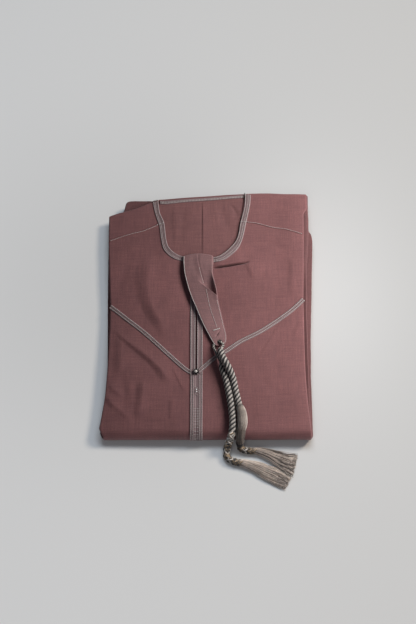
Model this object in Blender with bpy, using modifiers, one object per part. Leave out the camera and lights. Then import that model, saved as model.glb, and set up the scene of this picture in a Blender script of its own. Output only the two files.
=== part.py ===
"""A jalabiya folded into a flat bundle, with its neck tab and tassel laid on it.

The garment lies on its back. Its front is uppermost, the shoulder fold is at +Y and the
fold across the waist is at -Y. Tables and helper functions are in millimetres, and meshes
are made in metres.
"""

import math
import random

import bmesh
import bpy
from mathutils import Vector

MM = 0.001

# Driving dimensions, in millimetres
HEIGHT = 34.0          # the folded bundle, floor to top
WALL = 1.3             # one layer of cloth with its pressed allowance
GAP = 0.3              # between pieces that are sewn or lie together
SEAM_GAP = 0.6         # between two panels, under the trim that covers the seam
LEFT_FALL = 5.0        # how far the top falls to the left edge
RIGHT_FALL = 2.0
BACK_FALL = 1.5
FOLD_AXIS = -221.5     # Y of the axis of the fold across the waist
FOLD_REACH = 17.0      # how far that fold stands out in front of its axis
FOLD_POWER = 2.5       # 2 is an ellipse, more is squarer
CURL_RADIUS = 2.4      # pressed side folds and shoulder folds
CURL_TURN = math.radians(130)
LAYERS_BELOW = 6.2     # from the top of the bundle to the layer under the curls
SLIT_LEFT = -24.6
SLIT_RIGHT = -22.2
PLACKET_LEFT = -34.0
PLACKET_RIGHT = -11.4
PLACKET_SPLIT = -124.0
TRIM_WIDTH = 8.4
TRIM_RISE = 1.2
TRIM_MARGIN = 4.4      # between a trim's end and the placket
RIDGE_WIDTH = 3.2      # the narrow seams in front of the shoulders
RIDGE_RISE = 0.8
BAND_RISE = 1.9
BAND_OVERHANG = 0.9    # of the neck band over the cut edge
ROPE_RADIUS = 5.75
LOOP_RADIUS = 1.7
BUTTON_RADIUS = 5.2
BUTTON_AT = (-23.4, -118.5)
EYELET = (19.3, -62.0)
EYELET_RADIUS = 2.7
EYELET_MIDDLE = 40.0   # height of the middle of the cutter
EYELET_CUT = 12.0      # length of the cutter
BACK_DROP = WALL + GAP + 0.2      # from the top to the inside of the back
BACK_CENTRE = -11.4
CENTRE_RIDGE = 0.4
STRANDS_SEED = 7

# Cross sections of sewn bands: share of the width, share of the rise
STRIP_PROFILE = ((0.0, 0.0), (0.5, 0.0), (1.0, 0.0), (0.96, 0.72), (0.72, 1.0), (0.28, 1.0), (0.04, 0.72))
PLACKET_PROFILE = (
    (0.0, 0.0),
    (0.5, 0.0),
    (1.0, 0.0),
    (0.97, 0.75),
    (0.75, 1.0),
    (0.5, 0.8),
    (0.25, 1.0),
    (0.03, 0.75),
)

# How finely the panels are divided
LEFT_COLUMNS = 11
RIGHT_COLUMNS = 12
NECK_COLUMNS = 5
UPPER_ROWS = 10
LOWER_ROWS = 8
FOLD_ROWS = 8
FLAT_EASE = 0.02

# Edges of the top layer: Y, X of the left edge
LEFT_EDGE = [
    (-238.5, -186.5),
    (-230.0, -191.0),
    (-222.0, -194.2),
    (-193.0, -190.8),
    (-160.0, -186.7),
    (-74.0, -182.2),
    (-31.0, -180.5),
    (12.0, -180.6),
    (80.0, -184.5),
    (144.4, -187.4),
    (195.0, -188.6),
]

# Y, X of the pressed crease at the right
RIGHT_EDGE = [
    (-238.5, 168.0),
    (-114.6, 168.1),
    (-4.7, 171.5),
    (63.2, 173.3),
    (134.5, 175.9),
    (240.0, 177.5),
]

# Rear edge of the layer that rests on the floor, X, Y
UNDER_REAR = [(-184.0, 183.0), (-162.0, 203.0), (-152.0, 222.0), (176.0, 222.0)]

# The shaped seam that runs down to the placket from each side, X, Y
V_LEFT = [
    (-180.6, 12.9),
    (-167.5, 2.0),
    (-147.1, -15.8),
    (-115.0, -43.6),
    (-72.6, -85.1),
    (-46.1, -110.0),
    (-31.4, -120.3),
    (SLIT_LEFT, -124.5),
]
V_RIGHT = [
    (SLIT_RIGHT, -122.5),
    (-14.4, -113.7),
    (8.0, -93.6),
    (32.8, -76.8),
    (57.9, -59.2),
    (91.0, -41.5),
    (123.2, -19.7),
    (151.8, 2.0),
    (172.2, 21.8),
]

# Forward shoulder seams, from the side to the neck
SHOULDER_LEFT = [(-187.4, 144.4), (-150.8, 157.0), (-122.5, 164.4), (-97.0, 175.2), (-84.6, 179.6)]
SHOULDER_RIGHT = [(59.4, 181.4), (70.0, 180.6), (87.6, 178.8), (119.5, 169.8), (143.7, 165.5), (176.4, 153.8)]

# The shoulder fold, from the side to the neck
CREST_LEFT = [(-188.5, 194.3), (-170.0, 201.0), (-137.9, 210.7), (-106.4, 226.1), (-96.4, 229.4)]
CREST_RIGHT = [(68.2, 241.4), (109.6, 242.8), (145.4, 240.4), (177.5, 239.0)]

# The neckline, from the shoulder fold to the slit
NECK_INNER_LEFT = [
    (-96.3, 226.3),
    (-93.1, 202.3),
    (-88.7, 191.0),
    (-84.0, 177.6),
    (-79.5, 142.8),
    (-73.8, 126.8),
    (-61.1, 114.5),
    (-48.3, 109.2),
    (SLIT_LEFT, 104.6),
]
NECK_OUTER_LEFT = [
    (-106.2, 224.0),
    (-103.4, 208.6),
    (-98.3, 189.3),
    (-93.0, 172.1),
    (-89.8, 147.3),
    (-84.3, 124.1),
    (-70.8, 108.7),
    (-54.5, 101.2),
    (SLIT_LEFT, 95.6),
]
NECK_INNER_RIGHT = [
    (68.2, 239.9),
    (67.2, 216.2),
    (62.4, 192.7),
    (58.6, 176.6),
    (53.7, 149.9),
    (43.9, 132.1),
    (26.2, 114.5),
    (10.3, 106.9),
    (SLIT_RIGHT, 104.2),
]
NECK_OUTER_RIGHT = [
    (78.7, 237.9),
    (77.5, 218.1),
    (72.6, 192.7),
    (68.8, 174.1),
    (63.1, 147.9),
    (54.7, 126.4),
    (38.1, 108.8),
    (19.9, 98.8),
    (SLIT_RIGHT, 95.2),
]
BACK_BAND_FRONT = [(-92.0, 219.9), (-78.0, 219.6), (-45.7, 223.2), (1.1, 226.8), (33.0, 229.9), (64.6, 232.6)]
BACK_BAND_REAR = [(-92.4, 229.8), (-78.1, 229.4), (-45.8, 232.2), (1.1, 235.5), (33.0, 238.2), (65.0, 240.9)]
BACK_CREST = [(-95.2, 230.4), (-78.1, 231.4), (-45.8, 234.2), (1.1, 237.5), (33.0, 240.2), (66.8, 242.0)]

# Where the inside of the back ends under the front, round the neckline, X, Y
BACK_UNDER = [
    (-105.0, 214.0),
    (-99.0, 186.0),
    (-91.0, 148.0),
    (-83.0, 119.0),
    (-62.0, 102.0),
    (-24.0, 94.0),
    (12.0, 98.0),
    (40.0, 116.0),
    (60.0, 146.0),
    (70.0, 186.0),
    (76.5, 224.0),
]

# Main creases: ends X, Y, X, Y, then depth and half width
CREASES = [
    (-177.0, -31.0, -106.0, -97.0, 1.5, 7.0),
    (-104.0, -99.0, -76.0, -143.0, 1.2, 6.0),
    (-184.0, -158.0, -139.0, -203.0, 1.5, 7.0),
    (-127.5, -140.0, -127.0, -200.0, 0.9, 8.0),
    (-65.5, -170.0, -65.5, -206.0, 0.8, 7.0),
    (-124.5, 105.0, -112.0, -8.0, 0.8, 9.0),
    (10.0, 86.0, 72.0, 99.0, 1.5, 5.0),
    (162.0, 104.0, 160.0, 14.0, 1.4, 8.0),
    (168.0, -24.0, 76.0, -109.0, 0.9, 8.0),
]

# Outlines of the hidden layers, counter-clockwise, X, Y
OUTLINE_LOWER = [
    (-178.0, -236.5),
    (172.0, -236.5),
    (180.6, -233.5),
    (183.3, -222.0),
    (183.6, -128.0),
    (185.0, -50.0),
    (189.0, 35.0),
    (193.8, 148.0),
    (191.8, 161.5),
    (185.5, 168.0),
    (184.5, 231.0),
    (180.0, 236.0),
    (66.0, 238.0),
    (0.0, 233.0),
    (-80.0, 227.5),
    (-150.0, 228.6),
    (-156.6, 225.5),
    (-161.0, 205.0),
    (-183.0, 186.0),
    (-182.0, 120.0),
    (-176.5, 0.0),
    (-178.0, -74.0),
    (-183.0, -160.0),
    (-189.0, -214.0),
    (-186.0, -229.0),
]
OUTLINE_UPPER = [
    (-178.0, -236.5),
    (166.0, -236.5),
    (171.5, -226.0),
    (171.8, -128.0),
    (175.0, 0.0),
    (179.0, 90.0),
    (184.2, 158.0),
    (184.5, 231.0),
    (180.0, 236.0),
    (66.0, 238.0),
    (0.0, 233.0),
    (-80.0, 227.5),
    (-150.0, 228.6),
    (-156.6, 225.5),
    (-161.0, 205.0),
    (-184.0, 187.0),
    (-182.0, 120.0),
    (-176.5, 0.0),
    (-178.0, -74.0),
    (-183.0, -160.0),
    (-189.0, -214.0),
    (-186.0, -229.0),
]
OUTLINE_TOP = [
    (-182.0, -234.0),
    (164.0, -234.0),
    (164.5, -114.0),
    (168.0, 0.0),
    (172.0, 134.0),
    (173.5, 233.0),
    (66.0, 236.0),
    (0.0, 231.5),
    (-80.0, 225.5),
    (-102.0, 221.5),
    (-138.0, 204.5),
    (-184.0, 189.5),
    (-182.0, 120.0),
    (-177.0, 0.0),
    (-179.0, -74.0),
    (-186.0, -190.0),
    (-189.0, -220.0),
]

# Edges of the folded layers: share of the height, inset, outline
LAYER_EDGES = [
    (0.00, 3.2, OUTLINE_LOWER),
    (0.05, 0.8, OUTLINE_LOWER),
    (0.15, 0.0, OUTLINE_LOWER),
    (0.24, 1.0, OUTLINE_LOWER),
    (0.27, 3.4, OUTLINE_LOWER),
    (0.31, 1.4, OUTLINE_LOWER),
    (0.40, 0.6, OUTLINE_LOWER),
    (0.49, 1.6, OUTLINE_LOWER),
    (0.52, 3.8, OUTLINE_LOWER),
    (0.55, 1.0, OUTLINE_LOWER),
    (0.62, 0.2, OUTLINE_LOWER),
    (0.68, 1.6, OUTLINE_LOWER),
    (0.71, 1.4, OUTLINE_UPPER),
    (0.83, 0.0, OUTLINE_UPPER),
    (0.95, 1.2, OUTLINE_UPPER),
    (1.00, 3.6, OUTLINE_UPPER),
]
RING_POINTS = 42

# The neck tab, from its tail inside the neck to its tip: left X, Y, right X, Y, underside Z
TAB_ROWS = [
    (-45.0, 124.0, 7.0, 123.0, 33.4),
    (-45.8, 117.0, 7.4, 116.0, 34.4),
    (-46.6, 111.5, 7.8, 110.5, 36.9),
    (-47.4, 106.5, 8.2, 105.0, 37.3),
    (-47.3, 97.0, 8.1, 96.0, 37.8),
    (-46.6, 86.0, 7.4, 85.0, 38.8),
    (-45.4, 74.0, 7.3, 72.0, 39.3),
    (-42.9, 62.0, 10.4, 58.0, 39.4),
    (-39.4, 48.0, 13.6, 44.0, 39.3),
    (-35.4, 34.5, 15.6, 30.0, 39.2),
    (-29.8, 19.0, 17.6, 15.5, 39.1),
    (-23.4, 3.5, 20.4, 2.5, 39.0),
    (-17.2, -12.5, 23.8, -12.5, 38.9),
    (-10.2, -28.5, 27.2, -28.5, 38.8),
    (-2.8, -44.0, 30.8, -44.0, 38.7),
    (2.6, -54.5, 31.6, -55.0, 38.7),
    (7.6, -63.5, 29.4, -63.5, 38.7),
    (12.0, -69.5, 21.0, -70.0, 38.7),
]
TAB_WALL = 2.3
TAB_COLUMNS = 5
TAB_CROWN = 0.7                 # the middle above the sides, from the third row on
PLEAT_POINT = (3.0, 38.0)       # a point of the pleat across the tab
PLEAT_ACROSS = (0.62, 0.78)
PLEAT_DEPTH = 1.3
PLEAT_HALF = 6.0
PLEAT_START = -12.0             # X where the pleat starts, and the run to its full depth
PLEAT_RUN = 26.0

# Cord routes, X, Y, Z of the middle of the rope
ROUTE_LEFT = [
    (21.0, -104.0, 40.2),
    (22.4, -110.0, 40.2),
    (24.6, -117.0, 40.2),
    (26.9, -124.0, 40.2),
    (29.4, -132.0, 40.2),
    (32.4, -146.0, 40.2),
    (35.4, -162.0, 40.2),
    (38.2, -179.0, 40.3),
    (40.3, -195.0, 40.6),
    (41.2, -208.0, 41.2),
    (41.2, -219.0, 41.6),
    (40.4, -229.5, 40.3),
    (38.6, -238.0, 35.3),
    (36.2, -243.4, 28.0),
    (33.8, -247.0, 20.4),
    (31.8, -251.3, 13.4),
    (30.8, -256.6, 8.9),
    (30.6, -262.4, 7.2),
]
ROUTE_RIGHT = [
    (19.8, -77.0, 45.9),
    (21.2, -84.5, 46.4),
    (23.0, -91.0, 47.6),
    (25.6, -98.0, 49.5),
    (28.4, -104.0, 50.7),
    (31.7, -110.5, 50.5),
    (35.4, -117.5, 48.4),
    (39.8, -126.5, 44.9),
    (43.0, -136.0, 41.8),
    (45.2, -147.0, 40.4),
    (47.6, -159.0, 40.2),
    (50.0, -170.0, 40.2),
    (52.2, -180.0, 40.4),
]
ROUTE_LOOP = [
    (20.9, -103.4, 39.8),
    (20.6, -96.0, 38.3),
    (20.2, -88.0, 37.9),
    (19.8, -80.0, 37.7),
    (19.4, -72.0, 36.9),
    (18.9, -66.0, 36.5),
    (18.8, -62.6, 38.0),
    (19.2, -61.8, 40.4),
    (19.4, -62.6, 43.0),
    (19.6, -65.5, 44.5),
    (19.7, -70.0, 45.3),
    (19.8, -76.5, 45.8),
]

# The silk hank on the right cord: X, Y, Z, half width, half height
HANK = [
    (52.6, -181.0, 40.5, 5.0, 5.0),
    (53.8, -186.0, 41.0, 6.4, 5.8),
    (55.6, -195.0, 41.8, 8.4, 6.8),
    (57.0, -207.0, 42.2, 9.6, 7.2),
    (57.4, -219.0, 42.4, 9.6, 7.2),
    (57.2, -230.5, 41.0, 9.2, 6.8),
    (56.6, -239.5, 35.6, 8.4, 6.4),
    (55.6, -244.6, 28.0, 7.2, 5.8),
    (54.6, -247.2, 20.0, 5.6, 5.0),
    (54.2, -249.2, 14.2, 3.8, 3.8),
]

# Knots below the cords: X, Y, Z, radius
KNOTS_LEFT = [
    (30.5, -264.6, 6.9, 4.0),
    (30.6, -266.6, 7.2, 6.2),
    (32.4, -270.4, 7.5, 7.1),
    (36.6, -273.2, 7.4, 5.4),
    (39.2, -274.7, 7.3, 4.4),
    (41.8, -275.9, 7.4, 6.6),
    (45.8, -277.2, 7.5, 7.1),
    (49.6, -278.2, 7.4, 6.0),
    (51.8, -278.7, 7.1, 4.2),
]
KNOTS_RIGHT = [
    (54.15, -249.5, 13.4, 3.6),
    (54.6, -250.7, 11.0, 6.0),
    (57.0, -253.1, 8.4, 7.1),
    (61.2, -254.9, 7.6, 6.4),
    (64.0, -255.7, 7.3, 4.6),
    (66.8, -256.3, 7.3, 6.4),
    (70.6, -256.8, 7.5, 7.1),
    (74.2, -257.0, 7.3, 6.0),
    (76.4, -257.1, 7.0, 4.2),
]

# Tassels: X, Y of the two sides, half height
TASSEL_LEFT = [
    (53.6, -273.5, 51.6, -284.3, 5.3),
    (60.6, -272.6, 57.0, -285.4, 6.0),
    (82.0, -275.4, 75.0, -293.6, 4.8),
    (110.0, -286.0, 101.0, -310.4, 3.6),
    (141.0, -304.5, 131.0, -326.0, 2.6),
]
TASSEL_RIGHT = [
    (77.6, -251.8, 77.6, -262.4, 5.3),
    (84.0, -250.4, 83.4, -263.4, 6.0),
    (104.0, -252.0, 101.0, -270.6, 4.8),
    (129.0, -259.6, 126.0, -279.6, 3.6),
    (156.0, -264.5, 155.0, -285.5, 2.6),
]
HEAD_STATIONS = 2      # stations of a tassel that are its wound head
STRAND_SHARE = 0.74    # of its cell that a strand fills
SHORTEST_STRAND = 0.76 # of the last stretch of the tassel
HEAD_LIFT = 1.0        # of the wound head above the floor
FLOOR_CLEARANCE = 0.6

CLOTH = (0.200, 0.085, 0.083)
CLOTH_INSIDE = (0.170, 0.075, 0.073)
TRIM = (0.300, 0.190, 0.187)
TAB = (0.215, 0.125, 0.120)
SILVER = (0.420, 0.390, 0.360)
SILK = (0.300, 0.255, 0.220)
PEARL = (0.620, 0.590, 0.560)


def lerp(a, b, t):
    return a + (b - a) * t


def table(rows, at):
    """Read a two-column table between its rows."""
    if at <= rows[0][0]:
        return rows[0][1]
    for (k0, v0), (k1, v1) in zip(rows, rows[1:]):
        if at <= k1:
            return lerp(v0, v1, (at - k0) / (k1 - k0))
    return rows[-1][1]


def ramp(value, start, span):
    return min(max((value - start) / span, 0.0), 1.0)


def dome(x, y):
    """Height of the top of the bundle, without its creases."""
    left = ramp(-x, 10.0, 180.0)
    right = ramp(x, 40.0, 135.0)
    back = ramp(y, 120.0, 120.0)
    return HEIGHT - LEFT_FALL * left ** 2 - RIGHT_FALL * right ** 2 - BACK_FALL * back ** 2


def crease_depth(x, y):
    """Depth of the creases at a point of the top."""
    depth = 0.0
    for x0, y0, x1, y1, deep, half in CREASES:
        run = Vector((x1 - x0, y1 - y0))
        t = Vector((x - x0, y - y0)).dot(run) / run.length_squared
        share = max(0.0, 1.0 - (2.0 * t - 1.0) ** 4) if 0.0 < t < 1.0 else 0.0
        foot = Vector((x0, y0)) + run * min(max(t, 0.0), 1.0)
        away = (Vector((x, y)) - foot).length
        depth = max(depth, deep * share * math.exp(-(away / half) ** 2))
    return depth


def top(x, y):
    return dome(x, y) - crease_depth(x, y)


def spline(points, t):
    """A smooth curve through the points, with t from 0 to 1."""
    last = len(points) - 1
    at = min(max(t, 0.0), 1.0) * last
    i = min(int(at), last - 1)
    f = at - i
    p = [Vector(points[min(max(i + k, 0), last)]) for k in (-1, 0, 1, 2)]
    a = 2.0 * p[1]
    b = p[2] - p[0]
    c = 2.0 * p[0] - 5.0 * p[1] + 4.0 * p[2] - p[3]
    d = -p[0] + 3.0 * p[1] - 3.0 * p[2] + p[3]
    return 0.5 * (a + b * f + c * f * f + d * f * f * f)


def evenly(points, count, smooth=True):
    """Points at equal steps along a table's curve."""
    fine = 12 * (len(points) - 1)
    if smooth:
        path = [spline(points, k / fine) for k in range(fine + 1)]
    else:
        path = [Vector(p) for p in points]
    lengths = [0.0]
    for a, b in zip(path, path[1:]):
        lengths.append(lengths[-1] + (b - a).length)
    out = []
    k = 0
    for step in range(count + 1):
        want = lengths[-1] * step / count
        while k < len(path) - 2 and lengths[k + 1] < want:
            k += 1
        share = (want - lengths[k]) / (lengths[k + 1] - lengths[k])
        out.append(path[k].lerp(path[k + 1], min(share, 1.0)))
    return out


def clear_scene():
    for obj in list(bpy.data.objects):
        bpy.data.objects.remove(obj, do_unlink=True)
    for coll in list(bpy.data.collections):
        bpy.data.collections.remove(coll)


def material(name, colour, roughness=0.85, metallic=0.0):
    mat = bpy.data.materials.new(name)
    mat.use_nodes = True
    shader = mat.node_tree.nodes["Principled BSDF"]
    shader.inputs["Base Color"].default_value = (*colour, 1.0)
    shader.inputs["Roughness"].default_value = roughness
    shader.inputs["Metallic"].default_value = metallic
    return mat


def add_mesh(name, verts, faces, mat, collection):
    """An object from points in millimetres."""
    mesh = bpy.data.meshes.new(name)
    mesh.from_pydata([Vector(v) * MM for v in verts], [], faces)
    obj = bpy.data.objects.new(name, mesh)
    obj.data.materials.append(mat)
    collection.objects.link(obj)
    return obj


def face_outwards(obj):
    bm = bmesh.new()
    bm.from_mesh(obj.data)
    bmesh.ops.recalc_face_normals(bm, faces=bm.faces)
    bm.to_mesh(obj.data)
    bm.free()
    obj.data.shade_smooth()
    obj.data.set_sharp_from_angle(angle=math.radians(40))


def sheet(name, rows, wall, mat, collection):
    """One panel: a grid of points on its outer face, thickened inwards."""
    wide = len(rows[0])
    verts = [p for row in rows for p in row]
    faces = []
    for r in range(len(rows) - 1):
        for c in range(wide - 1):
            a = r * wide + c
            faces.append((a, a + 1, a + 1 + wide, a + wide))
    obj = add_mesh(name, verts, faces, mat, collection)
    solid = obj.modifiers.new("Wall", "SOLIDIFY")
    solid.thickness = wall * MM
    solid.offset = -1.0
    obj.data.shade_smooth()
    return obj


def loft(name, rings, mat, collection):
    """A closed body through rings of equal counts, with flat ends."""
    sides = len(rings[0])
    verts = [p for ring in rings for p in ring]
    faces = [tuple(range(sides))]
    for r in range(len(rings) - 1):
        for k in range(sides):
            a = r * sides + k
            b = r * sides + (k + 1) % sides
            faces.append((a, b, b + sides, a + sides))
    faces.append(tuple(range(len(verts) - sides, len(verts))))
    obj = add_mesh(name, verts, faces, mat, collection)
    face_outwards(obj)
    return obj


def curled(base, out, down, turn, ease=1.0):
    """A point past an edge of a panel, where the cloth turns under by an angle."""
    radius = CURL_RADIUS / ease
    angle = turn * ease
    return base + out * (radius * math.sin(angle)) + down * (radius * (1.0 - math.cos(angle)))


CURL_STEPS = [CURL_TURN * k / 3 for k in (1, 2, 3)]
DOWN = Vector((0.0, 0.0, -1.0))


def on_top(p):
    return Vector((p.x, p.y, top(p.x, p.y)))


def side_curl(row, side, ease=1.0, down=DOWN):
    """Extend one row of a panel past its left (-1) or right (1) edge."""
    out = Vector((side, 0.0, 0.0))
    edge = row[0] if side < 0 else row[-1]
    extra = [curled(edge, out, down, turn, ease) for turn in CURL_STEPS]
    if side < 0:
        return extra[::-1] + row
    return row + extra


def ruled(lower, upper, rows):
    """Rows of plan points between two curves of equal counts."""
    return [[lo.lerp(up, r / rows) for lo, up in zip(lower, upper)] for r in range(rows + 1)]


def inset_side(points, side):
    """Leave room for the curl at a panel's side edge."""
    index = 0 if side < 0 else -1
    points[index] = points[index] - Vector((side * CURL_RADIUS, 0.0))


def seam_points(side):
    """Plan points on the shaped seam, shared by the panels above and below it."""
    if side < 0:
        start, end = V_LEFT[0][0] + CURL_RADIUS, SLIT_LEFT
        seam, count = V_LEFT, LEFT_COLUMNS
    else:
        start, end = SLIT_RIGHT, V_RIGHT[-1][0] - CURL_RADIUS
        seam, count = V_RIGHT, RIGHT_COLUMNS
    xs = [lerp(start, end, k / count) for k in range(count + 1)]
    return [Vector((x, table(seam, x))) for x in xs]


def make_front_upper(name, side, shoulder, neck, mat, collection):
    """A front panel above the shaped seam, between its side edge and the slit."""
    half_gap = Vector((0.0, SEAM_GAP / 2))
    lower = [p + half_gap for p in seam_points(side)]
    shoulder_columns = len(lower) - 1 - NECK_COLUMNS
    along_seam = [p - half_gap for p in evenly(shoulder, shoulder_columns, False)]
    if side < 0:
        upper = along_seam + evenly(neck, NECK_COLUMNS)[1:]
    else:
        upper = evenly(neck[::-1], NECK_COLUMNS)[:-1] + along_seam
    inset_side(upper, side)
    grid = [[on_top(p) for p in row] for row in ruled(lower, upper, UPPER_ROWS)]
    return sheet(name, [side_curl(row, side) for row in grid], WALL, mat, collection)


def make_shoulder(name, seam, crest, side, rows, mat, collection):
    """The back panel in front of the shoulder fold, curling over that fold."""
    columns = (LEFT_COLUMNS if side < 0 else RIGHT_COLUMNS) - NECK_COLUMNS
    lower = [p + Vector((0.0, SEAM_GAP / 2)) for p in evenly(seam, columns, False)]
    upper = evenly(crest, columns)
    inset_side(lower, side)
    inset_side(upper, side)
    outs = []
    for c in range(columns + 1):
        run = (upper[min(c + 1, columns)] - upper[max(c - 1, 0)]).normalized()
        outs.append(Vector((-run.y, run.x, 0.0)))
    upper = [p - out.to_2d() * CURL_RADIUS for p, out in zip(upper, outs)]
    grid = [side_curl([on_top(p) for p in row], side) for row in ruled(lower, upper, rows)]
    crest_row = [on_top(p) for p in upper]
    index = 0 if side < 0 else -1
    for back_turn in CURL_STEPS:
        row = [curled(p, out, DOWN, back_turn) for p, out in zip(crest_row, outs)]
        extra = []
        for turn in CURL_STEPS:
            angle = max(turn, back_turn) + 0.15 * min(turn, back_turn)
            out = (Vector((side, 0.0, 0.0)) * turn + outs[index] * back_turn).normalized()
            extra.append(curled(crest_row[index], out, DOWN, angle))
        grid.append(extra[::-1] + row if side < 0 else row + extra)
    return sheet(name, grid, WALL, mat, collection)


def fold_point(x, turn, lift=0.0):
    """A point on the fold across the waist, turn 0 at its top and pi at its bottom."""
    half = dome(x, FOLD_AXIS) / 2
    power = 2.0 / FOLD_POWER
    across = math.sin(turn) ** power
    along = math.copysign(abs(math.cos(turn)) ** power, math.cos(turn))
    normal = fold_normal(turn)
    y = FOLD_AXIS - FOLD_REACH * across
    return Vector((x, y, half + half * along)) + normal * lift


def fold_normal(turn):
    """Outward direction of the fold across the waist."""
    power = 2.0 / FOLD_POWER
    across = max(math.sin(turn), 0.0) ** (2.0 - power)
    along = math.copysign(abs(math.cos(turn)) ** (2.0 - power), math.cos(turn))
    return Vector((0.0, -across / FOLD_REACH, along * 2.0 / HEIGHT)).normalized()


def row_columns(y, reach):
    """X of each column of the front at one Y, with room for the side curls."""
    left = table(LEFT_EDGE, y) + reach
    right = table(RIGHT_EDGE, y) - reach
    xs = [lerp(left, SLIT_LEFT, k / LEFT_COLUMNS) for k in range(LEFT_COLUMNS + 1)]
    return xs + [lerp(SLIT_RIGHT, right, k / RIGHT_COLUMNS) for k in range(RIGHT_COLUMNS + 1)]


def curl_reach(ease):
    """How far a side curl stands out past the flat part of its row."""
    return CURL_RADIUS / ease * math.sin(min(CURL_TURN * ease, math.pi / 2))


def make_front_lower(mat, collection):
    """The front below the shaped seam, round the waist fold and flat under the bundle."""
    seam = seam_points(-1) + seam_points(1)
    grid = []
    for r in range(LOWER_ROWS, 0, -1):
        share = r / LOWER_ROWS
        ease = lerp(FLAT_EASE, 1.0, min(share * 4.0, 1.0))
        line = []
        for c, start in enumerate(seam):
            y = lerp(FOLD_AXIS, start.y, share)
            x = lerp(row_columns(y, curl_reach(ease))[c], start.x, share)
            if r == LOWER_ROWS:
                y = start.y - SEAM_GAP / 2
            line.append(Vector((x, y, top(x, y))))
        grid.append(side_curl(side_curl(line, -1, ease), 1, ease))
    for r in range(FOLD_ROWS + 1):
        turn = math.pi * r / FOLD_ROWS
        y = fold_point(0.0, turn).y
        line = [fold_point(x, turn) for x in row_columns(y, curl_reach(FLAT_EASE))]
        down = -fold_normal(turn)
        grid.append(side_curl(side_curl(line, -1, FLAT_EASE, down), 1, FLAT_EASE, down))
    for share in (0.33, 0.66, 1.0):
        line = []
        for x in row_columns(UNDER_REAR[-1][1] * share, curl_reach(FLAT_EASE)):
            line.append(Vector((x, lerp(FOLD_AXIS, table(UNDER_REAR, x), share), 0.0)))
        grid.append(side_curl(side_curl(line, -1, FLAT_EASE, -DOWN), 1, FLAT_EASE, -DOWN))
    return sheet("front_lower", grid[::-1], WALL, mat, collection)


def reach_of(outline, angle):
    """Distance from the middle to an outline along one direction."""
    ray = Vector((math.cos(angle), math.sin(angle)))
    best = 0.0
    for a, b in zip(outline, outline[1:] + outline[:1]):
        p = Vector(a)
        run = Vector(b) - p
        cross = ray.x * run.y - ray.y * run.x
        if abs(cross) < 1e-9:
            continue
        dist = (p.x * run.y - p.y * run.x) / cross
        share = (p.x * ray.y - p.y * ray.x) / cross
        if dist > 0.0 and -1e-6 <= share <= 1.0 + 1e-6:
            best = max(best, dist)
    return best


def make_core(mat, collection):
    """The hidden layers as one rounded solid, with the edges of its folded layers."""
    steady = evenly(OUTLINE_LOWER + OUTLINE_LOWER[:1], RING_POINTS, False)[:-1]
    corners = [Vector(p) for p in OUTLINE_LOWER if abs(p[0]) > 150.0 and abs(p[1]) > 150.0]
    marks = steady + [p for p in corners if min((p - q).length for q in steady) > 5.0]
    angles = sorted(math.atan2(p.y, p.x) for p in marks)
    base = WALL + GAP
    bundle_half = HEIGHT / 2

    def tucked(p, z):
        """Keep a point inside the fold across the waist."""
        if p.y >= FOLD_AXIS:
            return p.y
        rise = min(abs(z - bundle_half) / (bundle_half - base), 1.0)
        narrow = (1.0 - rise ** FOLD_POWER) ** (1.0 / FOLD_POWER)
        return FOLD_AXIS + (p.y - FOLD_AXIS) * narrow

    def ring(outline, inset, height_at):
        line = []
        for angle in angles:
            reach = reach_of(outline, angle) - inset
            p = Vector((math.cos(angle), math.sin(angle))) * reach
            z = height_at(p)
            line.append(Vector((p.x, tucked(p, z), z)))
        return line

    rings = []
    for share, inset, outline in LAYER_EDGES:
        rings.append(ring(outline, inset, lambda p, s=share: lerp(base, dome(p.x, p.y) - LAYERS_BELOW, s)))
    under_top = BACK_DROP + WALL + GAP
    rings.append(ring(OUTLINE_TOP, 4.0, lambda p: dome(p.x, p.y) - LAYERS_BELOW + 1.2))
    rings.append(ring(OUTLINE_TOP, 8.0, lambda p: dome(p.x, p.y) - under_top - 0.4))
    edge_ring = ring(OUTLINE_TOP, 16.0, lambda p: dome(p.x, p.y) - under_top)
    rings.append(edge_ring)
    for scale in (0.72, 0.42, 0.14):
        inner = [Vector((p.x * scale, p.y * scale)) for p in edge_ring]
        rings.append([Vector((p.x, p.y, dome(p.x, p.y) - under_top)) for p in inner])
    return loft("folded_body", rings, mat, collection)


def back_height(x, y):
    """Height of the inside of the back, with its pressed centre line."""
    ridge = CENTRE_RIDGE * math.exp(-((x - BACK_CENTRE) / 6.0) ** 2)
    seen = ramp(y, 104.0, 20.0) * (1.0 - ramp(y, 203.0, 12.0))
    return dome(x, y) - BACK_DROP + ridge * seen


def make_back_inside(mat, collection):
    """The inside of the back, seen through the neck, curling over the shoulder fold."""
    columns, rows = 12, 7
    front = evenly(BACK_UNDER, columns)
    rear = [p - Vector((0.0, CURL_RADIUS)) for p in evenly(BACK_CREST, columns)]
    grid = [[Vector((p.x, p.y, back_height(p.x, p.y))) for p in row] for row in ruled(front, rear, rows)]
    crest = grid[-1]
    out = Vector((0.0, 1.0, 0.0))
    for turn in CURL_STEPS:
        grid.append([curled(p, out, DOWN, turn) for p in crest])
    return sheet("back_inside", grid, WALL, mat, collection)


def raised_strip(name, inner, outer, base_at, rise, mat, collection):
    """A sewn band between two curves, its top rounded like a stitched fold."""
    rings = []
    for a, b in zip(inner, outer):
        ring = []
        for t, lift in STRIP_PROFILE:
            p = a.lerp(b, t)
            ring.append(base_at(p) + Vector((0.0, 0.0, lift * rise)))
        rings.append(ring)
    return loft(name, rings, mat, collection)


def rest_on_top(p):
    return Vector((p.x, p.y, dome(p.x, p.y) + GAP))


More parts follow.
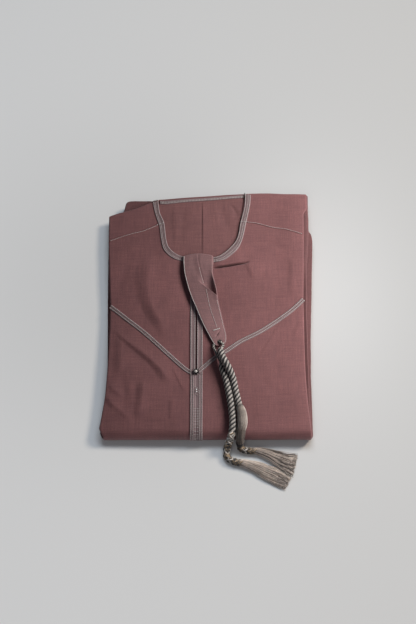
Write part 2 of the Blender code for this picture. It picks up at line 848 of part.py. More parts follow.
def side_lines(middle, width):
    """The two edges of a strip of even width along a middle line."""
    left = []
    right = []
    for k, p in enumerate(middle):
        run = (middle[min(k + 1, len(middle) - 1)] - middle[max(k - 1, 0)]).normalized()
        across = Vector((-run.y, run.x)) * (width / 2)
        left.append(p + across)
        right.append(p - across)
    return left, right


def cut_at_x(points, limit, keep_less):
    """The part of a curve on one side of a line of constant X."""
    kept = [p for p in points if (p.x < limit) == keep_less]
    for a, b in zip(points, points[1:]):
        if (a.x < limit) != (b.x < limit):
            hit = a.lerp(b, (limit - a.x) / (b.x - a.x))
            kept = kept + [hit] if keep_less else [hit] + kept
    return kept


def make_v_trims(mat, collection):
    """The raised double-stitched seams from the sides to the placket."""
    for name, seam, limit, keep_less in (
        ("trim_left", V_LEFT, PLACKET_LEFT - TRIM_MARGIN, True),
        ("trim_right", V_RIGHT, PLACKET_RIGHT + TRIM_MARGIN, False),
    ):
        middle = cut_at_x(evenly(seam, 60), limit, keep_less)
        middle = evenly(middle, 18, False)
        a, b = side_lines(middle, TRIM_WIDTH)
        raised_strip(name, a, b, rest_on_top, TRIM_RISE, mat, collection)


def make_shoulder_ridges(mat, collection):
    """The narrow raised seams in front of the shoulders."""
    runs = (
        ("seam_shoulder_left", SHOULDER_LEFT, -183.0, -97.5),
        ("seam_shoulder_right", SHOULDER_RIGHT, 73.5, 172.0),
    )
    for name, seam, start, end in runs:
        line = evenly(seam, 60)
        middle = [p for p in line if start < p.x < end]
        a, b = side_lines(evenly(middle, 10, False), RIDGE_WIDTH)
        raised_strip(name, a, b, rest_on_top, RIDGE_RISE, mat, collection)


def make_neckbands(mat, collection):
    """The band round the neck: two sides over the front, and the back."""
    for name, inner, outer in (
        ("neckband_left", NECK_INNER_LEFT, NECK_OUTER_LEFT),
        ("neckband_right", NECK_INNER_RIGHT, NECK_OUTER_RIGHT),
    ):
        a = evenly(inner, 20)
        b = evenly(outer, 20)
        a = [p + (p - q).normalized() * BAND_OVERHANG for p, q in zip(a, b)]
        raised_strip(name, a, b, rest_on_top, BAND_RISE, mat, collection)

    def rest_on_back(p):
        return Vector((p.x, p.y, back_height(p.x, p.y) + GAP))

    a = evenly(BACK_BAND_FRONT, 14)
    b = [p - Vector((0.0, CURL_RADIUS)) for p in evenly(BACK_BAND_REAR, 14)]
    raised_strip("neckband_back", a, b, rest_on_back, BAND_RISE, mat, collection)


def make_placket(mat, collection):
    """Two bands beside the slit, and the closed placket below it round the fold."""
    rows = 16
    for name, left, right, start in (
        ("placket_left", PLACKET_LEFT, SLIT_LEFT - 0.1, 94.6),
        ("placket_right", SLIT_RIGHT + 0.1, PLACKET_RIGHT, 94.2),
    ):
        a = [Vector((left, lerp(start, PLACKET_SPLIT, k / rows))) for k in range(rows + 1)]
        b = [Vector((right, p.y)) for p in a]
        raised_strip(name, a, b, rest_on_top, TRIM_RISE, mat, collection)

    shape = [(lerp(PLACKET_LEFT, PLACKET_RIGHT, t), GAP + lift * TRIM_RISE) for t, lift in PLACKET_PROFILE]
    rings = []
    for k in range(8):
        y = lerp(PLACKET_SPLIT - GAP, FOLD_AXIS, k / 8)
        rings.append([Vector((x, y, dome(x, y) + lift)) for x, lift in shape])
    for k in range(8):
        turn = math.radians(20.0 * k)
        rings.append([fold_point(x, turn, lift) for x, lift in shape])
    loft("placket_lower", rings, mat, collection)


def make_tab(mat, cutters, collection):
    """The folded tab that carries the tassel, with a diagonal pleat and an eyelet."""
    grid = []
    for k, (x0, y0, x1, y1, z) in enumerate(TAB_ROWS):
        row = []
        for c in range(TAB_COLUMNS + 1):
            t = c / TAB_COLUMNS
            x = lerp(x0, x1, t)
            y = lerp(y0, y1, t)
            away = (x - PLEAT_POINT[0]) * PLEAT_ACROSS[0] + (y - PLEAT_POINT[1]) * PLEAT_ACROSS[1]
            pleat = PLEAT_DEPTH * math.exp(-(away / PLEAT_HALF) ** 2) * ramp(x, PLEAT_START, PLEAT_RUN)
            crown = TAB_CROWN * math.sin(math.pi * t) * ramp(k, 2.0, 3.0)
            row.append(Vector((x, y, z + TAB_WALL + crown - pleat)))
        grid.append(row)
    tab = sheet("neck_tab", grid[::-1], TAB_WALL, mat, collection)
    bpy.ops.mesh.primitive_cylinder_add(
        vertices=12,
        radius=EYELET_RADIUS * MM,
        depth=EYELET_CUT * MM,
        location=(EYELET[0] * MM, EYELET[1] * MM, EYELET_MIDDLE * MM),
    )
    cutter = bpy.context.object
    cutter.name = "eyelet_cutter"
    for coll in list(cutter.users_collection):
        coll.objects.unlink(cutter)
    cutters.objects.link(cutter)
    cutter.hide_render = True
    cutter.display_type = "WIRE"
    hole = tab.modifiers.new("Eyelet", "BOOLEAN")
    hole.operation = "DIFFERENCE"
    hole.object = cutter
    return tab


def make_tube(name, route, radius, count, resolution, mat, collection):
    """A cord: a bevelled curve with closed ends."""
    curve = bpy.data.curves.new(name, "CURVE")
    curve.dimensions = "3D"
    curve.bevel_depth = radius * MM
    curve.bevel_resolution = resolution
    curve.use_fill_caps = True
    points = evenly(route, count)
    poly = curve.splines.new("POLY")
    poly.points.add(len(points) - 1)
    for slot, p in zip(poly.points, points):
        slot.co = (*(p * MM), 1.0)
    poly.use_smooth = True
    obj = bpy.data.objects.new(name, curve)
    obj.data.materials.append(mat)
    collection.objects.link(obj)
    return obj


def frame_along(points, k):
    """Forward, sideways and upward directions at one point of a path."""
    forward = (points[min(k + 1, len(points) - 1)] - points[max(k - 1, 0)]).normalized()
    side = Vector((-forward.y, forward.x, 0.0))
    side = side.normalized() if side.length > 1e-6 else Vector((1.0, 0.0, 0.0))
    return forward, side, forward.cross(side)


def make_swelling(name, stations, steps, sides, mat, collection):
    """A body of changing width and height along a path."""
    rings = []
    path = [spline([s[:3] for s in stations], k / steps) for k in range(steps + 1)]
    sizes = [spline([(s[3], s[-1]) for s in stations], k / steps) for k in range(steps + 1)]
    for k, (centre, size) in enumerate(zip(path, sizes)):
        forward, side, up = frame_along(path, k)
        ring = []
        for j in range(sides):
            angle = 2.0 * math.pi * j / sides
            ring.append(centre + side * (size.x * math.cos(angle)) + up * (size.y * math.sin(angle)))
        rings.append(ring)
    return loft(name, rings, mat, collection)


def lattice():
    """Points and triangles of a round end divided evenly, from the middle out."""
    points = [Vector((0.0, 0.0))]
    starts = [0]
    for r in (1, 2, 3):
        starts.append(len(points))
        for j in range(6 * r):
            angle = math.pi / 3.0 * j / r
            points.append(Vector((math.cos(angle), math.sin(angle))) * (r / 3.0))
    triangles = []
    for r in (1, 2, 3):
        for sector in range(6):
            for j in range(r):
                outer = starts[r] + sector * r + j
                outer_next = starts[r] + (sector * r + j + 1) % (6 * r)
                inner = starts[r - 1] + (sector * (r - 1) + j) % max(6 * (r - 1), 1)
                triangles.append((inner, outer, outer_next))
                if j < r - 1:
                    inner_next = starts[r - 1] + (sector * (r - 1) + j + 1) % (6 * (r - 1))
                    triangles.append((inner, outer_next, inner_next))
    return points, triangles, starts[3]


def make_tassel(name, stations, seed, mat, collection):
    """A wound head whose end divides into strands that fan out over the floor."""
    rng = random.Random(seed)
    points, triangles, rim = lattice()

    def place(k, uv):
        x0, y0, x1, y1, half = stations[k]
        a = Vector((x0, y0, 0.0))
        b = Vector((x1, y1, 0.0))
        middle = a.lerp(b, 0.5)
        lift = half + FLOOR_CLEARANCE
        if k < HEAD_STATIONS:
            lift = stations[0][4] + HEAD_LIFT
        return middle + (a - middle) * uv.x + Vector((0.0, 0.0, lift + half * uv.y))

    verts = []
    faces = []
    ring_uv = points[rim:]
    sides = len(ring_uv)
    for k in range(HEAD_STATIONS):
        verts.extend(place(k, uv) for uv in ring_uv)
    faces.append(tuple(range(sides)))
    for j in range(sides):
        faces.append((j, (j + 1) % sides, (j + 1) % sides + sides, j + sides))
    cap = {rim + j: sides + j for j in range(sides)}
    for index in range(rim):
        cap[index] = len(verts)
        verts.append(place(HEAD_STATIONS - 1, points[index]))
    for tri in triangles:
        centre = (points[tri[0]] + points[tri[1]] + points[tri[2]]) / 3.0
        previous = [cap[i] for i in tri]
        length = rng.uniform(SHORTEST_STRAND, 1.0)
        for k in range(HEAD_STATIONS - 1, len(stations)):
            fresh = []
            for i in tri:
                uv = centre.lerp(points[i], STRAND_SHARE)
                fresh.append(len(verts))
                p = place(k, uv)
                if k == len(stations) - 1:
                    p = place(k - 1, uv).lerp(p, length)
                verts.append(p)
            for a, b in ((0, 1), (1, 2), (2, 0)):
                faces.append((previous[a], previous[b], fresh[b], fresh[a]))
            previous = fresh
        faces.append(tuple(previous))
    obj = add_mesh(name, verts, faces, mat, collection)
    face_outwards(obj)
    return obj


def make_button(mat, collection):
    """A sewn button at the foot of the slit, a turned disc with a raised rim."""
    profile = [(0.0, 2.9), (2.6, 2.8), (3.3, 3.2), (4.4, 3.1), (BUTTON_RADIUS, 2.0), (4.9, 0.6), (3.6, 0.0), (0.0, 0.0)]
    sides = 14
    at_x, at_y = BUTTON_AT
    base = dome(at_x, at_y) + GAP + TRIM_RISE + GAP
    verts = [Vector((at_x, at_y, base + profile[0][1]))]
    faces = []
    for radius, height in profile[1:-1]:
        for j in range(sides):
            angle = 2.0 * math.pi * j / sides
            x = at_x + radius * math.cos(angle)
            y = at_y + radius * math.sin(angle)
            verts.append(Vector((x, y, base + height)))
    last = 1 + sides * (len(profile) - 3)
    for j in range(sides):
        faces.append((0, 1 + j, 1 + (j + 1) % sides))
        for r in range(len(profile) - 3):
            a = 1 + r * sides
            b = a + sides
            faces.append((a + j, b + j, b + (j + 1) % sides, a + (j + 1) % sides))
    faces.append(tuple(last + j for j in range(sides)))
    obj = add_mesh("button", verts, faces, mat, collection)
    face_outwards(obj)
    return obj


def main():
    clear_scene()
    garment = bpy.data.collections.new("jalabiya")
    cutters = bpy.data.collections.new("cutters")
    for coll in (garment, cutters):
        bpy.context.scene.collection.children.link(coll)

    cloth = material("mauve_twill", CLOTH)
    inside = material("mauve_twill_inside", CLOTH_INSIDE)
    trim = material("stitched_trim", TRIM, 0.7)
    tab_cloth = material("tab_cloth", TAB, 0.8)
    silver = material("silver_cord", SILVER, 0.45)
    silk = material("silk_strands", SILK, 0.5)
    pearl = material("button_pearl", PEARL, 0.25)

    make_core(inside, garment)
    make_front_lower(cloth, garment)
    make_front_upper("front_upper_left", -1, SHOULDER_LEFT, NECK_INNER_LEFT[3:], cloth, garment)
    make_front_upper("front_upper_right", 1, SHOULDER_RIGHT, NECK_INNER_RIGHT[3:], cloth, garment)
    make_shoulder("shoulder_left", SHOULDER_LEFT, CREST_LEFT, -1, 3, cloth, garment)
    make_shoulder("shoulder_right", SHOULDER_RIGHT, CREST_RIGHT, 1, 4, cloth, garment)
    make_back_inside(inside, garment)
    make_v_trims(trim, garment)
    make_shoulder_ridges(trim, garment)
    make_neckbands(trim, garment)
    make_placket(trim, garment)
    make_tab(tab_cloth, cutters, garment)
    make_button(pearl, garment)
    make_tube("tassel_loop", ROUTE_LOOP, LOOP_RADIUS, 20, 2, silver, garment)
    make_tube("cord_left", ROUTE_LEFT, ROPE_RADIUS, 22, 3, silver, garment)
    make_tube("cord_right", ROUTE_RIGHT, ROPE_RADIUS, 13, 3, silver, garment)
    make_swelling("silk_hank", HANK, 11, 14, silk, garment)
    make_swelling("knots_left", KNOTS_LEFT, 16, 10, silver, garment)
    make_swelling("knots_right", KNOTS_RIGHT, 16, 10, silver, garment)
    make_tassel("tassel_left", TASSEL_LEFT, STRANDS_SEED, silk, garment)
    make_tassel("tassel_right", TASSEL_RIGHT, STRANDS_SEED + 1, silk, garment)


main()
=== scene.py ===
import math
import random

import bpy
import numpy as np
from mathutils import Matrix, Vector, noise


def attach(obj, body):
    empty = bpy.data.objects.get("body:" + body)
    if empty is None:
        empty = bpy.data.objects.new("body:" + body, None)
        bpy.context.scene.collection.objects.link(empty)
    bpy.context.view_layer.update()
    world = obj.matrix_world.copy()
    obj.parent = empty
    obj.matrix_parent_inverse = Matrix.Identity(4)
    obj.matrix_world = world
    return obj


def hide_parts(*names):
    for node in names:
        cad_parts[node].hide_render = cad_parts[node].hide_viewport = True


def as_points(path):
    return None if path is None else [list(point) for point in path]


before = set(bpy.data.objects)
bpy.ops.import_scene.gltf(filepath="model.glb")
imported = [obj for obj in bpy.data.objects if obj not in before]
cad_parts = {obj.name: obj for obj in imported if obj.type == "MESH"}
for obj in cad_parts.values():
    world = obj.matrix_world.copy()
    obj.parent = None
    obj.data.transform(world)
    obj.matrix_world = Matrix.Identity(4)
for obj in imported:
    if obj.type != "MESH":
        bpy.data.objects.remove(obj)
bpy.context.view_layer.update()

# Tables and sizes are in millimetres, apart from the cords' routes and radii, which are in metres
MM = 0.001
HEIGHT = 34.0
WALL = 1.0
GAP = 0.3
CAD_WALL = 1.3
LEFT_FALL = 6.6
RIGHT_RISE = 2.4
BACK_FALL = 1.5
FOLD_AXIS = -221.5
FOLD_REACH = 17.0
FOLD_POWER = 2.5
CURL_RADIUS = 2.4
CURL_STEPS = np.radians((20.0, 42.0, 64.0, 86.0, 108.0, 130.0, 150.0, 168.0))
UP = np.array((0.0, 0.0, 1.0))
DOWN = -UP
UNDER_RADIUS = 0.25
SHOULDER_FLARE = 6.3
LAYERS_BELOW = 6.2
SLIT_LEFT = -24.6
SLIT_RIGHT = -22.2
PLACKET_LEFT = -34.0
PLACKET_RIGHT = -11.4
PLACKET_SPLIT = -124.0
SHARP_LINE = (5.0, 86.2, 74.0, 99.0)
SHARP_ROWS = (74, 34, 30)
SHARP_REACH = 4.2
UPPER_ROWS = 110
LEFT_COLUMNS = 77
RIGHT_COLUMNS = 84
NECK_COLUMNS = 35
BACK_ROWS = 60
BACK_COLUMNS = 230
OUTLINE_POINTS = 560
TAB_GRID = (210, 60)
PLY_CLEAR = 0.06
EDGE_RISE = 5.5
TRIM_WIDTH = 8.4
TRIM_RISE = 1.2
BAND_RISE = 1.9
BAND_CLEAR = 0.12
BAND_SOLE = 0.05
PIPES = (0.07, 0.24, 0.76, 0.93)
SEAM_GAP = 0.6
BACK_DROP = 1.8
BACK_CENTRE = -12.0
BUTTON_AT = (-23.4, -118.5)
EYELET_AT = (19.3, -62.0)

LEFT_EDGE = [
    (-238.5, -186.5), (-230, -191), (-222, -194.2), (-193, -190.8), (-160, -186.7), (-74, -182.2),
    (-31, -180.5), (12, -180.6), (80, -184.5), (144.4, -187.4), (195, -188.6),
]
RIGHT_EDGE = [
    (-238.5, 181), (-200, 177.6), (-160, 174.8), (-114.6, 172.2), (-60, 171.2), (-4.7, 171.5),
    (63.2, 173.3), (134.5, 175.9), (240, 177.5),
]
UNDER_REAR = [(-184, 183), (-162, 203), (-152, 222), (176, 222)]
V_LEFT = [
    (-180.6, 12.9), (-167.5, 2), (-147.1, -15.8), (-115, -43.6), (-72.6, -85.1), (-46.1, -110),
    (-31.4, -120.3), (SLIT_LEFT, -124.5),
]
V_RIGHT = [
    (SLIT_RIGHT, -122.5), (-14.4, -113.7), (8, -93.6), (32.8, -76.8), (57.9, -59.2), (91, -41.5),
    (123.2, -19.7), (151.8, 2), (172.2, 21.8),
]
SHOULDER_LEFT = [(-187.4, 144.4), (-150.8, 157), (-122.5, 164.4), (-97, 175.2), (-84.6, 179.6)]
SHOULDER_RIGHT = [
    (59.4, 181.4), (70, 180.6), (87.6, 178.8), (119.5, 169.8), (143.7, 165.5), (176.4, 153.8),
]
CREST_LEFT = [(-188.5, 197.2), (-170, 203.6), (-137.9, 212.6), (-106.4, 226.1), (-96.4, 229.4)]
CREST_RIGHT = [(68.2, 241.4), (109.6, 242.8), (145.4, 240.4), (177.5, 239)]
NECK_INNER_LEFT = [
    (-96.3, 226.3), (-93.1, 202.3), (-88.7, 191), (-84, 177.6), (-79.5, 142.8), (-73.8, 126.8),
    (-61.1, 114.5), (-48.3, 109.2), (SLIT_LEFT, 104.6),
]
NECK_OUTER_LEFT = [
    (-106.2, 224), (-103.4, 208.6), (-98.3, 189.3), (-93, 172.1), (-89.8, 147.3), (-84.3, 124.1),
    (-70.8, 108.7), (-54.5, 101.2), (SLIT_LEFT, 95.6),
]
NECK_INNER_RIGHT = [
    (68.2, 239.9), (67.2, 216.2), (62.4, 192.7), (58.6, 176.6), (53.7, 149.9), (43.9, 132.1),
    (26.2, 114.5), (10.3, 106.9), (SLIT_RIGHT, 104.2),
]
NECK_OUTER_RIGHT = [
    (78.7, 237.9), (77.5, 218.1), (72.6, 192.7), (68.8, 174.1), (63.1, 147.9), (54.7, 126.4),
    (38.1, 108.8), (19.9, 98.8), (SLIT_RIGHT, 95.2),
]
BACK_BAND_FRONT = [
    (-92, 219.9), (-78, 219.6), (-45.7, 223.2), (1.1, 226.8), (33, 229.9), (64.6, 232.6),
]
BACK_BAND_REAR = [
    (-92.4, 229.8), (-78.1, 229.4), (-45.8, 232.2), (1.1, 235.5), (33, 238.2), (65, 240.9),
]
BACK_CREST = [(-95.2, 230.4), (-78.1, 231.4), (-45.8, 234.2), (1.1, 237.5), (33, 240.2), (66.8, 242)]
BACK_UNDER = [
    (-105, 214), (-99, 186), (-91, 148), (-83, 119), (-62, 102), (-24, 94), (12, 98), (40, 116),
    (60, 146), (70, 186), (76.5, 224),
]

# Creases and ridges of the front: X, Y, X, Y of the ends, bow, depth or height, half width
CREASES = [
    (-150, 96, -166, 30, -4, 0.5, 9), (5, 86, 74, 98.8, -1, 5.4, 1.9), (106, 138, 150, 118, 2, 0.4, 8),
    (92, -132, 150, -176, -3, 0.4, 9), (-160, -110, -150, -196, 3, 0.5, 8),
]
RIDGES = [
    (8, 83.6, 76, 96, -1, 0.8, 2.6), (-142, -134, -140, -206, 2, 0.4, 8),
    (-139, 98, -128, -6, 6, 0.3, 8), (-178, -176, -132, -216, -4, 0.5, 6),
]
# Folds, higher on the left of the way along them: points X, Y, two heights, two widths, reach
FOLDS = [
    (((-116, 124), (-123, 84), (-124.5, 50), (-116, 11), (-94, -28), (-80, -57)), (3.2, 3.8), (30, 17), 30),
    (((-178, -31), (-152.5, -58), (-120, -85.5), (-94, -113), (-70, -149)), (1.7, 4.0), (3.5, 17), 20),
    (((-67, -110), (-56, -134), (-44, -158)), (0.7, 0.7), (4, 4), 9),
    (((-184, -141), (-168, -155), (-150, -169)), (1.3, 1.0), (6, 6), 7),
    (((-190, -158), (-176, -176.7), (-158, -193), (-134, -214)), (2.3, 1.0), (4, 8), 12),
    (((-122, -130), (-127, -172), (-132, -210)), (2.4, 2.4), (15, 15), 22),
    (((-68, -164), (-70, -190), (-71, -212)), (0.8, 0.8), (8, 8), 18),
    (((-166, -40), (-167, -88), (-165, -134)), (1.8, 1.8), (18, 18), 14),
    (((150, 8), (127, -26), (100, -72), (78, -108)), (0.5, 0.7), (2.4, 2.4), 9),
    (((64, 98), (73, 82), (80, 62)), (1.4, 1.1), (8, 9), 16),
    (((5, 86.6), (40, 92.6), (74, 99)), (3.4, 1.8), (2.2, 1.6), 16),
    (((149, 112), (148, 66), (149, 22)), (1.2, 1.2), (13, 13), 14),
    (((169, -12), (160, -30), (149, -52)), (0.9, 0.7), (5, 5), 10),
]
BACK_CREASES = [
    (-48, 214, -62, 128, 4, 0.5, 8), (22, 216, 44, 160, -5, 0.6, 9), (40, 218, 52, 190, 3, 0.9, 4),
]
BACK_RIDGES = [(10, 220, 36, 150, -5, 0.35, 9)]
BACK_FOLDS = [
    (((BACK_CENTRE, 232), (BACK_CENTRE, 165), (BACK_CENTRE, 98)), (1.1, 1.1), (1.4, 1.4), 10),
    (((-70, 222), (-66, 170), (-64, 118)), (0.6, 0.6), (9, 9), 16),
]

OUTLINE_LOWER = [
    (-178, -236.5), (140, -236.5), (166, -237.8), (181.5, -238.2), (184, -237.9), (184.2, -235),
    (184, -228), (183.6, -128), (185, -50), (189, 35), (193.8, 148), (191.8, 161.5), (186.6, 168),
    (186.6, 231), (187, 239), (66, 239.5), (0, 233), (-80, 229), (-150, 231.4), (-157, 228.4),
    (-161.2, 207.6), (-183, 188.8), (-182, 120), (-176.5, 0), (-178, -74), (-183, -160), (-189, -214),
    (-186, -229),
]
OUTLINE_UPPER = [
    (-178, -236.5), (140, -236.5), (166, -237.8), (179.5, -238.2), (181.6, -237.9), (181.6, -234.5),
    (181, -228), (178.6, -128), (178.6, 0), (181, 90), (186.2, 158), (186.8, 231), (187.2, 240.4),
    (66, 240), (0, 233), (-80, 229), (-150, 231.4), (-157, 228.4), (-161.2, 207.6), (-184, 189.8),
    (-182, 120), (-176.5, 0), (-178, -74), (-183, -160), (-189, -214), (-186, -229),
]
OUTLINE_TOP = [
    (-182, -234), (164, -234), (164.5, -114), (168, 0), (172, 134), (173.5, 233), (66, 236), (0, 231.5),
    (-80, 225.5), (-102, 221.5), (-138, 206.4), (-184, 189.5), (-182, 120), (-177, 0), (-179, -74),
    (-186, -190), (-189, -220),
]

# The folded layers: name, share of the height from and to, outline, inset, seed
LAYERS = [
    ("layer_1", 0.000, 0.135, OUTLINE_LOWER, 0.9, 11),
    ("layer_2", 0.135, 0.270, OUTLINE_LOWER, 0.2, 23),
    ("layer_3", 0.270, 0.400, OUTLINE_LOWER, 1.2, 37),
    ("layer_4", 0.400, 0.520, OUTLINE_LOWER, 0.5, 41),
    ("layer_5", 0.520, 0.620, OUTLINE_LOWER, 1.0, 59),
    ("layer_6", 0.620, 0.710, OUTLINE_LOWER, 0.2, 61),
    ("layer_7", 0.710, 0.860, OUTLINE_UPPER, 0.6, 73),
    ("layer_8", 0.860, 1.000, OUTLINE_UPPER, 0.1, 89),
    ("layer_9", 1.000, 1.090, OUTLINE_TOP, 6.0, 97),
]

# The neck tab: left X, Y, right X, Y, underside Z
TAB_ROWS = [
    (-47.2, 106.2, 7.9, 105.2, 37.2), (-47.3, 96, 8.1, 95, 37.8), (-46.6, 86, 7.4, 85, 38.8),
    (-45.4, 74, 7.3, 72, 39.3), (-42.9, 62, 10.4, 58, 39.4), (-39.4, 48, 13.6, 44, 39.3),
    (-35.4, 34.5, 15.6, 30, 39.1), (-29.8, 19, 17.6, 15.5, 38.7), (-23.4, 3.5, 20.4, 2.5, 38),
    (-17.2, -12.5, 23.8, -12.5, 37.1), (-10.2, -28.5, 27.2, -28.5, 36.3), (-2.8, -44, 30.8, -44, 36),
    (2.6, -54.5, 31.6, -55, 35.9), (7.6, -63.5, 29.4, -63.5, 35.9), (12, -69.5, 21, -70, 35.9),
]
TAB_WALL = 2.3

# Cord routes, in metres, as in the CAD model
ROUTE_LEFT = [
    (0.0210, -0.1040, 0.0402), (0.0224, -0.1100, 0.0402), (0.0246, -0.1170, 0.0402),
    (0.0269, -0.1240, 0.0402), (0.0294, -0.1320, 0.0402), (0.0324, -0.1460, 0.0402),
    (0.0354, -0.1620, 0.0402), (0.0382, -0.1790, 0.0403), (0.0403, -0.1950, 0.0406),
    (0.0412, -0.2080, 0.0412), (0.0412, -0.2190, 0.0416), (0.0404, -0.2295, 0.0403),
    (0.0386, -0.2380, 0.0353), (0.0362, -0.2434, 0.0280), (0.0338, -0.2470, 0.0204),
    (0.0318, -0.2513, 0.0134), (0.0308, -0.2566, 0.0089), (0.0306, -0.2624, 0.0072),
]
ROUTE_RIGHT = [
    (0.0198, -0.0770, 0.0459), (0.0212, -0.0845, 0.0464), (0.0230, -0.0910, 0.0476),
    (0.0256, -0.0980, 0.0495), (0.0284, -0.1040, 0.0507), (0.0317, -0.1105, 0.0505),
    (0.0354, -0.1175, 0.0484), (0.0398, -0.1265, 0.0449), (0.0430, -0.1360, 0.0418),
    (0.0452, -0.1470, 0.0404), (0.0476, -0.1590, 0.0402), (0.0500, -0.1700, 0.0402),
    (0.0522, -0.1800, 0.0404), (0.0536, -0.1880, 0.0410), (0.0549, -0.1950, 0.0416),
]
# The loop as it shows: under the tab, up through the eyelet and back over
LOOP_SHOWN = [
    (0.0209, -0.1034, 0.0398), (0.0170, -0.0920, 0.0386), (0.0116, -0.0800, 0.0384),
    (0.0080, -0.0720, 0.0376), (0.0094, -0.0665, 0.0367), (0.0145, -0.0640, 0.0365),
    (0.0184, -0.0630, 0.0370), (0.0196, -0.0627, 0.0388), (0.0216, -0.0643, 0.0408),
    (0.0246, -0.0680, 0.0418), (0.0250, -0.0722, 0.0428), (0.0228, -0.0757, 0.0440),
    (0.0202, -0.0786, 0.0448),
]
ROPE_RADIUS = 0.0062
LOOP_RADIUS = 0.0025

# The silk hank on the right rope: X, Y, Z, half width, half height
HANK = [
    (52.6, -181, 40.5, 4.6, 4.8), (54.2, -186, 41.2, 6.1, 5.9), (56.8, -193.5, 42.2, 7.8, 7),
    (58.4, -205.9, 42.8, 8.8, 7.5), (58, -218.8, 42.4, 8.8, 7.1), (56, -229.8, 41, 7.9, 6.7),
    (54.9, -238.5, 35.8, 7.7, 6.5), (54.3, -243.8, 28.2, 7.4, 5.8), (54.2, -246.8, 20.2, 6.5, 5.1),
    (54.2, -249.2, 14.2, 5.2, 4.2),
]

# Knots: centre X, Y, Z, direction X, Y, Z
KNOTS_LEFT = [
    (31.4, -267, 7.6, 3.6, -7.6, 0.2), (37.2, -273.4, 7.6, 8, -4.8, 0), (45.6, -277, 7.6, 9.2, -2.8, 0),
    (54.2, -278.8, 7.6, 9.4, -1.2, 0),
]
KNOTS_RIGHT = [
    (56.4, -252.4, 8.8, 6, -4.6, -3.4), (63.6, -255.8, 7.7, 9, -2.4, 0),
    (71.4, -257, 7.6, 9.4, -0.6, 0), (79.2, -257.2, 7.6, 9.4, -0.2, 0),
]
# The thread-wound stretches between the knots: X, Y, Z, radius
NECKS_LEFT = [
    (30.6, -262, 7.2, 5), (31.2, -266.4, 7.3, 4.6), (36.6, -273.2, 7.4, 4.2), (40.2, -275.2, 7.3, 3.6),
    (46, -277.3, 7.4, 4), (52.6, -278.8, 7.2, 4.6),
]
NECKS_RIGHT = [
    (54.2, -249, 14.4, 3.6), (54.6, -250.9, 10.6, 4.4), (61.4, -254.9, 7.6, 4.2),
    (64.6, -255.9, 7.3, 3.6), (70.8, -256.8, 7.4, 4), (77.2, -257.1, 7.2, 4.6),
]

# Tassels: X, Y of the two sides, half height
TASSEL_LEFT = [
    (53.6, -273.5, 51.6, -284.3, 5.3), (60.6, -272.2, 57, -285.8, 6), (84, -276.2, 77, -294.8, 4.9),
    (103, -282.5, 95, -306.6, 3.9), (124, -291.5, 116, -317, 3.1), (143.5, -303.5, 135, -325.4, 2.3),
]
TASSEL_RIGHT = [
    (77.6, -251.8, 77.6, -262.4, 5.3), (84, -250.4, 83.4, -263.4, 6), (102.5, -252.2, 101.5, -271.5, 5),
    (121, -257.6, 117, -282.5, 4), (138, -262.6, 133, -293, 3.2), (156.4, -264.4, 148, -301, 2.5),
]
FLOOR_CLEARANCE = 0.6
HEAD_LIFT = 1.0
STRANDS = 230
STRAND_RADIUS = 0.00046
ROPE_STEP = 0.00075
THREADS = 640
GOLDEN_ANGLE = 2.399963

# Camera, as the photo was taken
VIEW_POINT = Vector((-0.0019, -0.0020, 0.034))
VIEW_UP = math.radians(67.0)
VIEW_DISTANCE = 2.6
LENS = 82.5
SENSOR = 36.0


def link_object(name, data):
    obj = bpy.data.objects.new(name, data)
    bpy.context.scene.collection.objects.link(obj)
    return obj


def make_camera():
    data = bpy.data.cameras.new("camera")
    data.lens = LENS
    data.sensor_width = SENSOR
    camera = link_object("camera", data)
    away = Vector((0.0, -math.cos(VIEW_UP), math.sin(VIEW_UP)))
    camera.location = VIEW_POINT + away * VIEW_DISTANCE
    camera.rotation_euler = (math.pi / 2 - VIEW_UP, 0.0, 0.0)
    bpy.context.scene.camera = camera


# Materials


def new_material(name):
    mat = bpy.data.materials.new(name)
    mat.use_nodes = True
    return mat, mat.node_tree, mat.node_tree.nodes["Principled BSDF"]


def set_inputs(tree, node, values):
    """Give a node's sockets their values, or link them to another node's output."""
    for key, value in values.items():
        if isinstance(value, bpy.types.NodeSocket):
            tree.links.new(value, node.inputs[key])
        else:
            node.inputs[key].default_value = value


def add_node(tree, kind, values, out, **settings):
    """Add a node and return one of its outputs."""
    node = tree.nodes.new(kind)
    for key, value in settings.items():
        setattr(node, key, value)
    set_inputs(tree, node, values)
    return node.outputs[out]


def cloth_map(tree):
    """Coordinates that run along the cloth, in metres."""
    return add_node(tree, "ShaderNodeUVMap", {}, "UV", uv_map="cloth")


def object_map(tree):
    return add_node(tree, "ShaderNodeTexCoord", {}, "Object")


def stretched(tree, vector, scale, turn=0.0):
    values = {"Scale": scale, "Rotation": (0.0, 0.0, turn), "Vector": vector}
    return add_node(tree, "ShaderNodeMapping", values, "Vector")


def waves(tree, vector, pitch, direction, distortion):
    """Even lines across one direction, with a pitch in metres."""
    values = {"Scale": 0.314159 / pitch, "Distortion": distortion, "Detail": 1.0, "Vector": vector}
    return add_node(tree, "ShaderNodeTexWave", values, "Fac", wave_type="BANDS", bands_direction=direction)


def cloud(tree, vector, scale, detail=2.0, roughness=0.5):
    values = {"Scale": scale, "Detail": detail, "Roughness": roughness, "Vector": vector}
    return add_node(tree, "ShaderNodeTexNoise", values, "Fac")


def calculate(tree, operation, a, b):
    return add_node(tree, "ShaderNodeMath", {0: a, 1: b}, "Value", operation=operation)


def vectors(tree, operation, values, out="Vector"):
    return add_node(tree, "ShaderNodeVectorMath", dict(enumerate(values)), out, operation=operation)


def falling_away(tree, value):
    return calculate(tree, "EXPONENT", calculate(tree, "MULTIPLY", value, -1.0), 0.0)


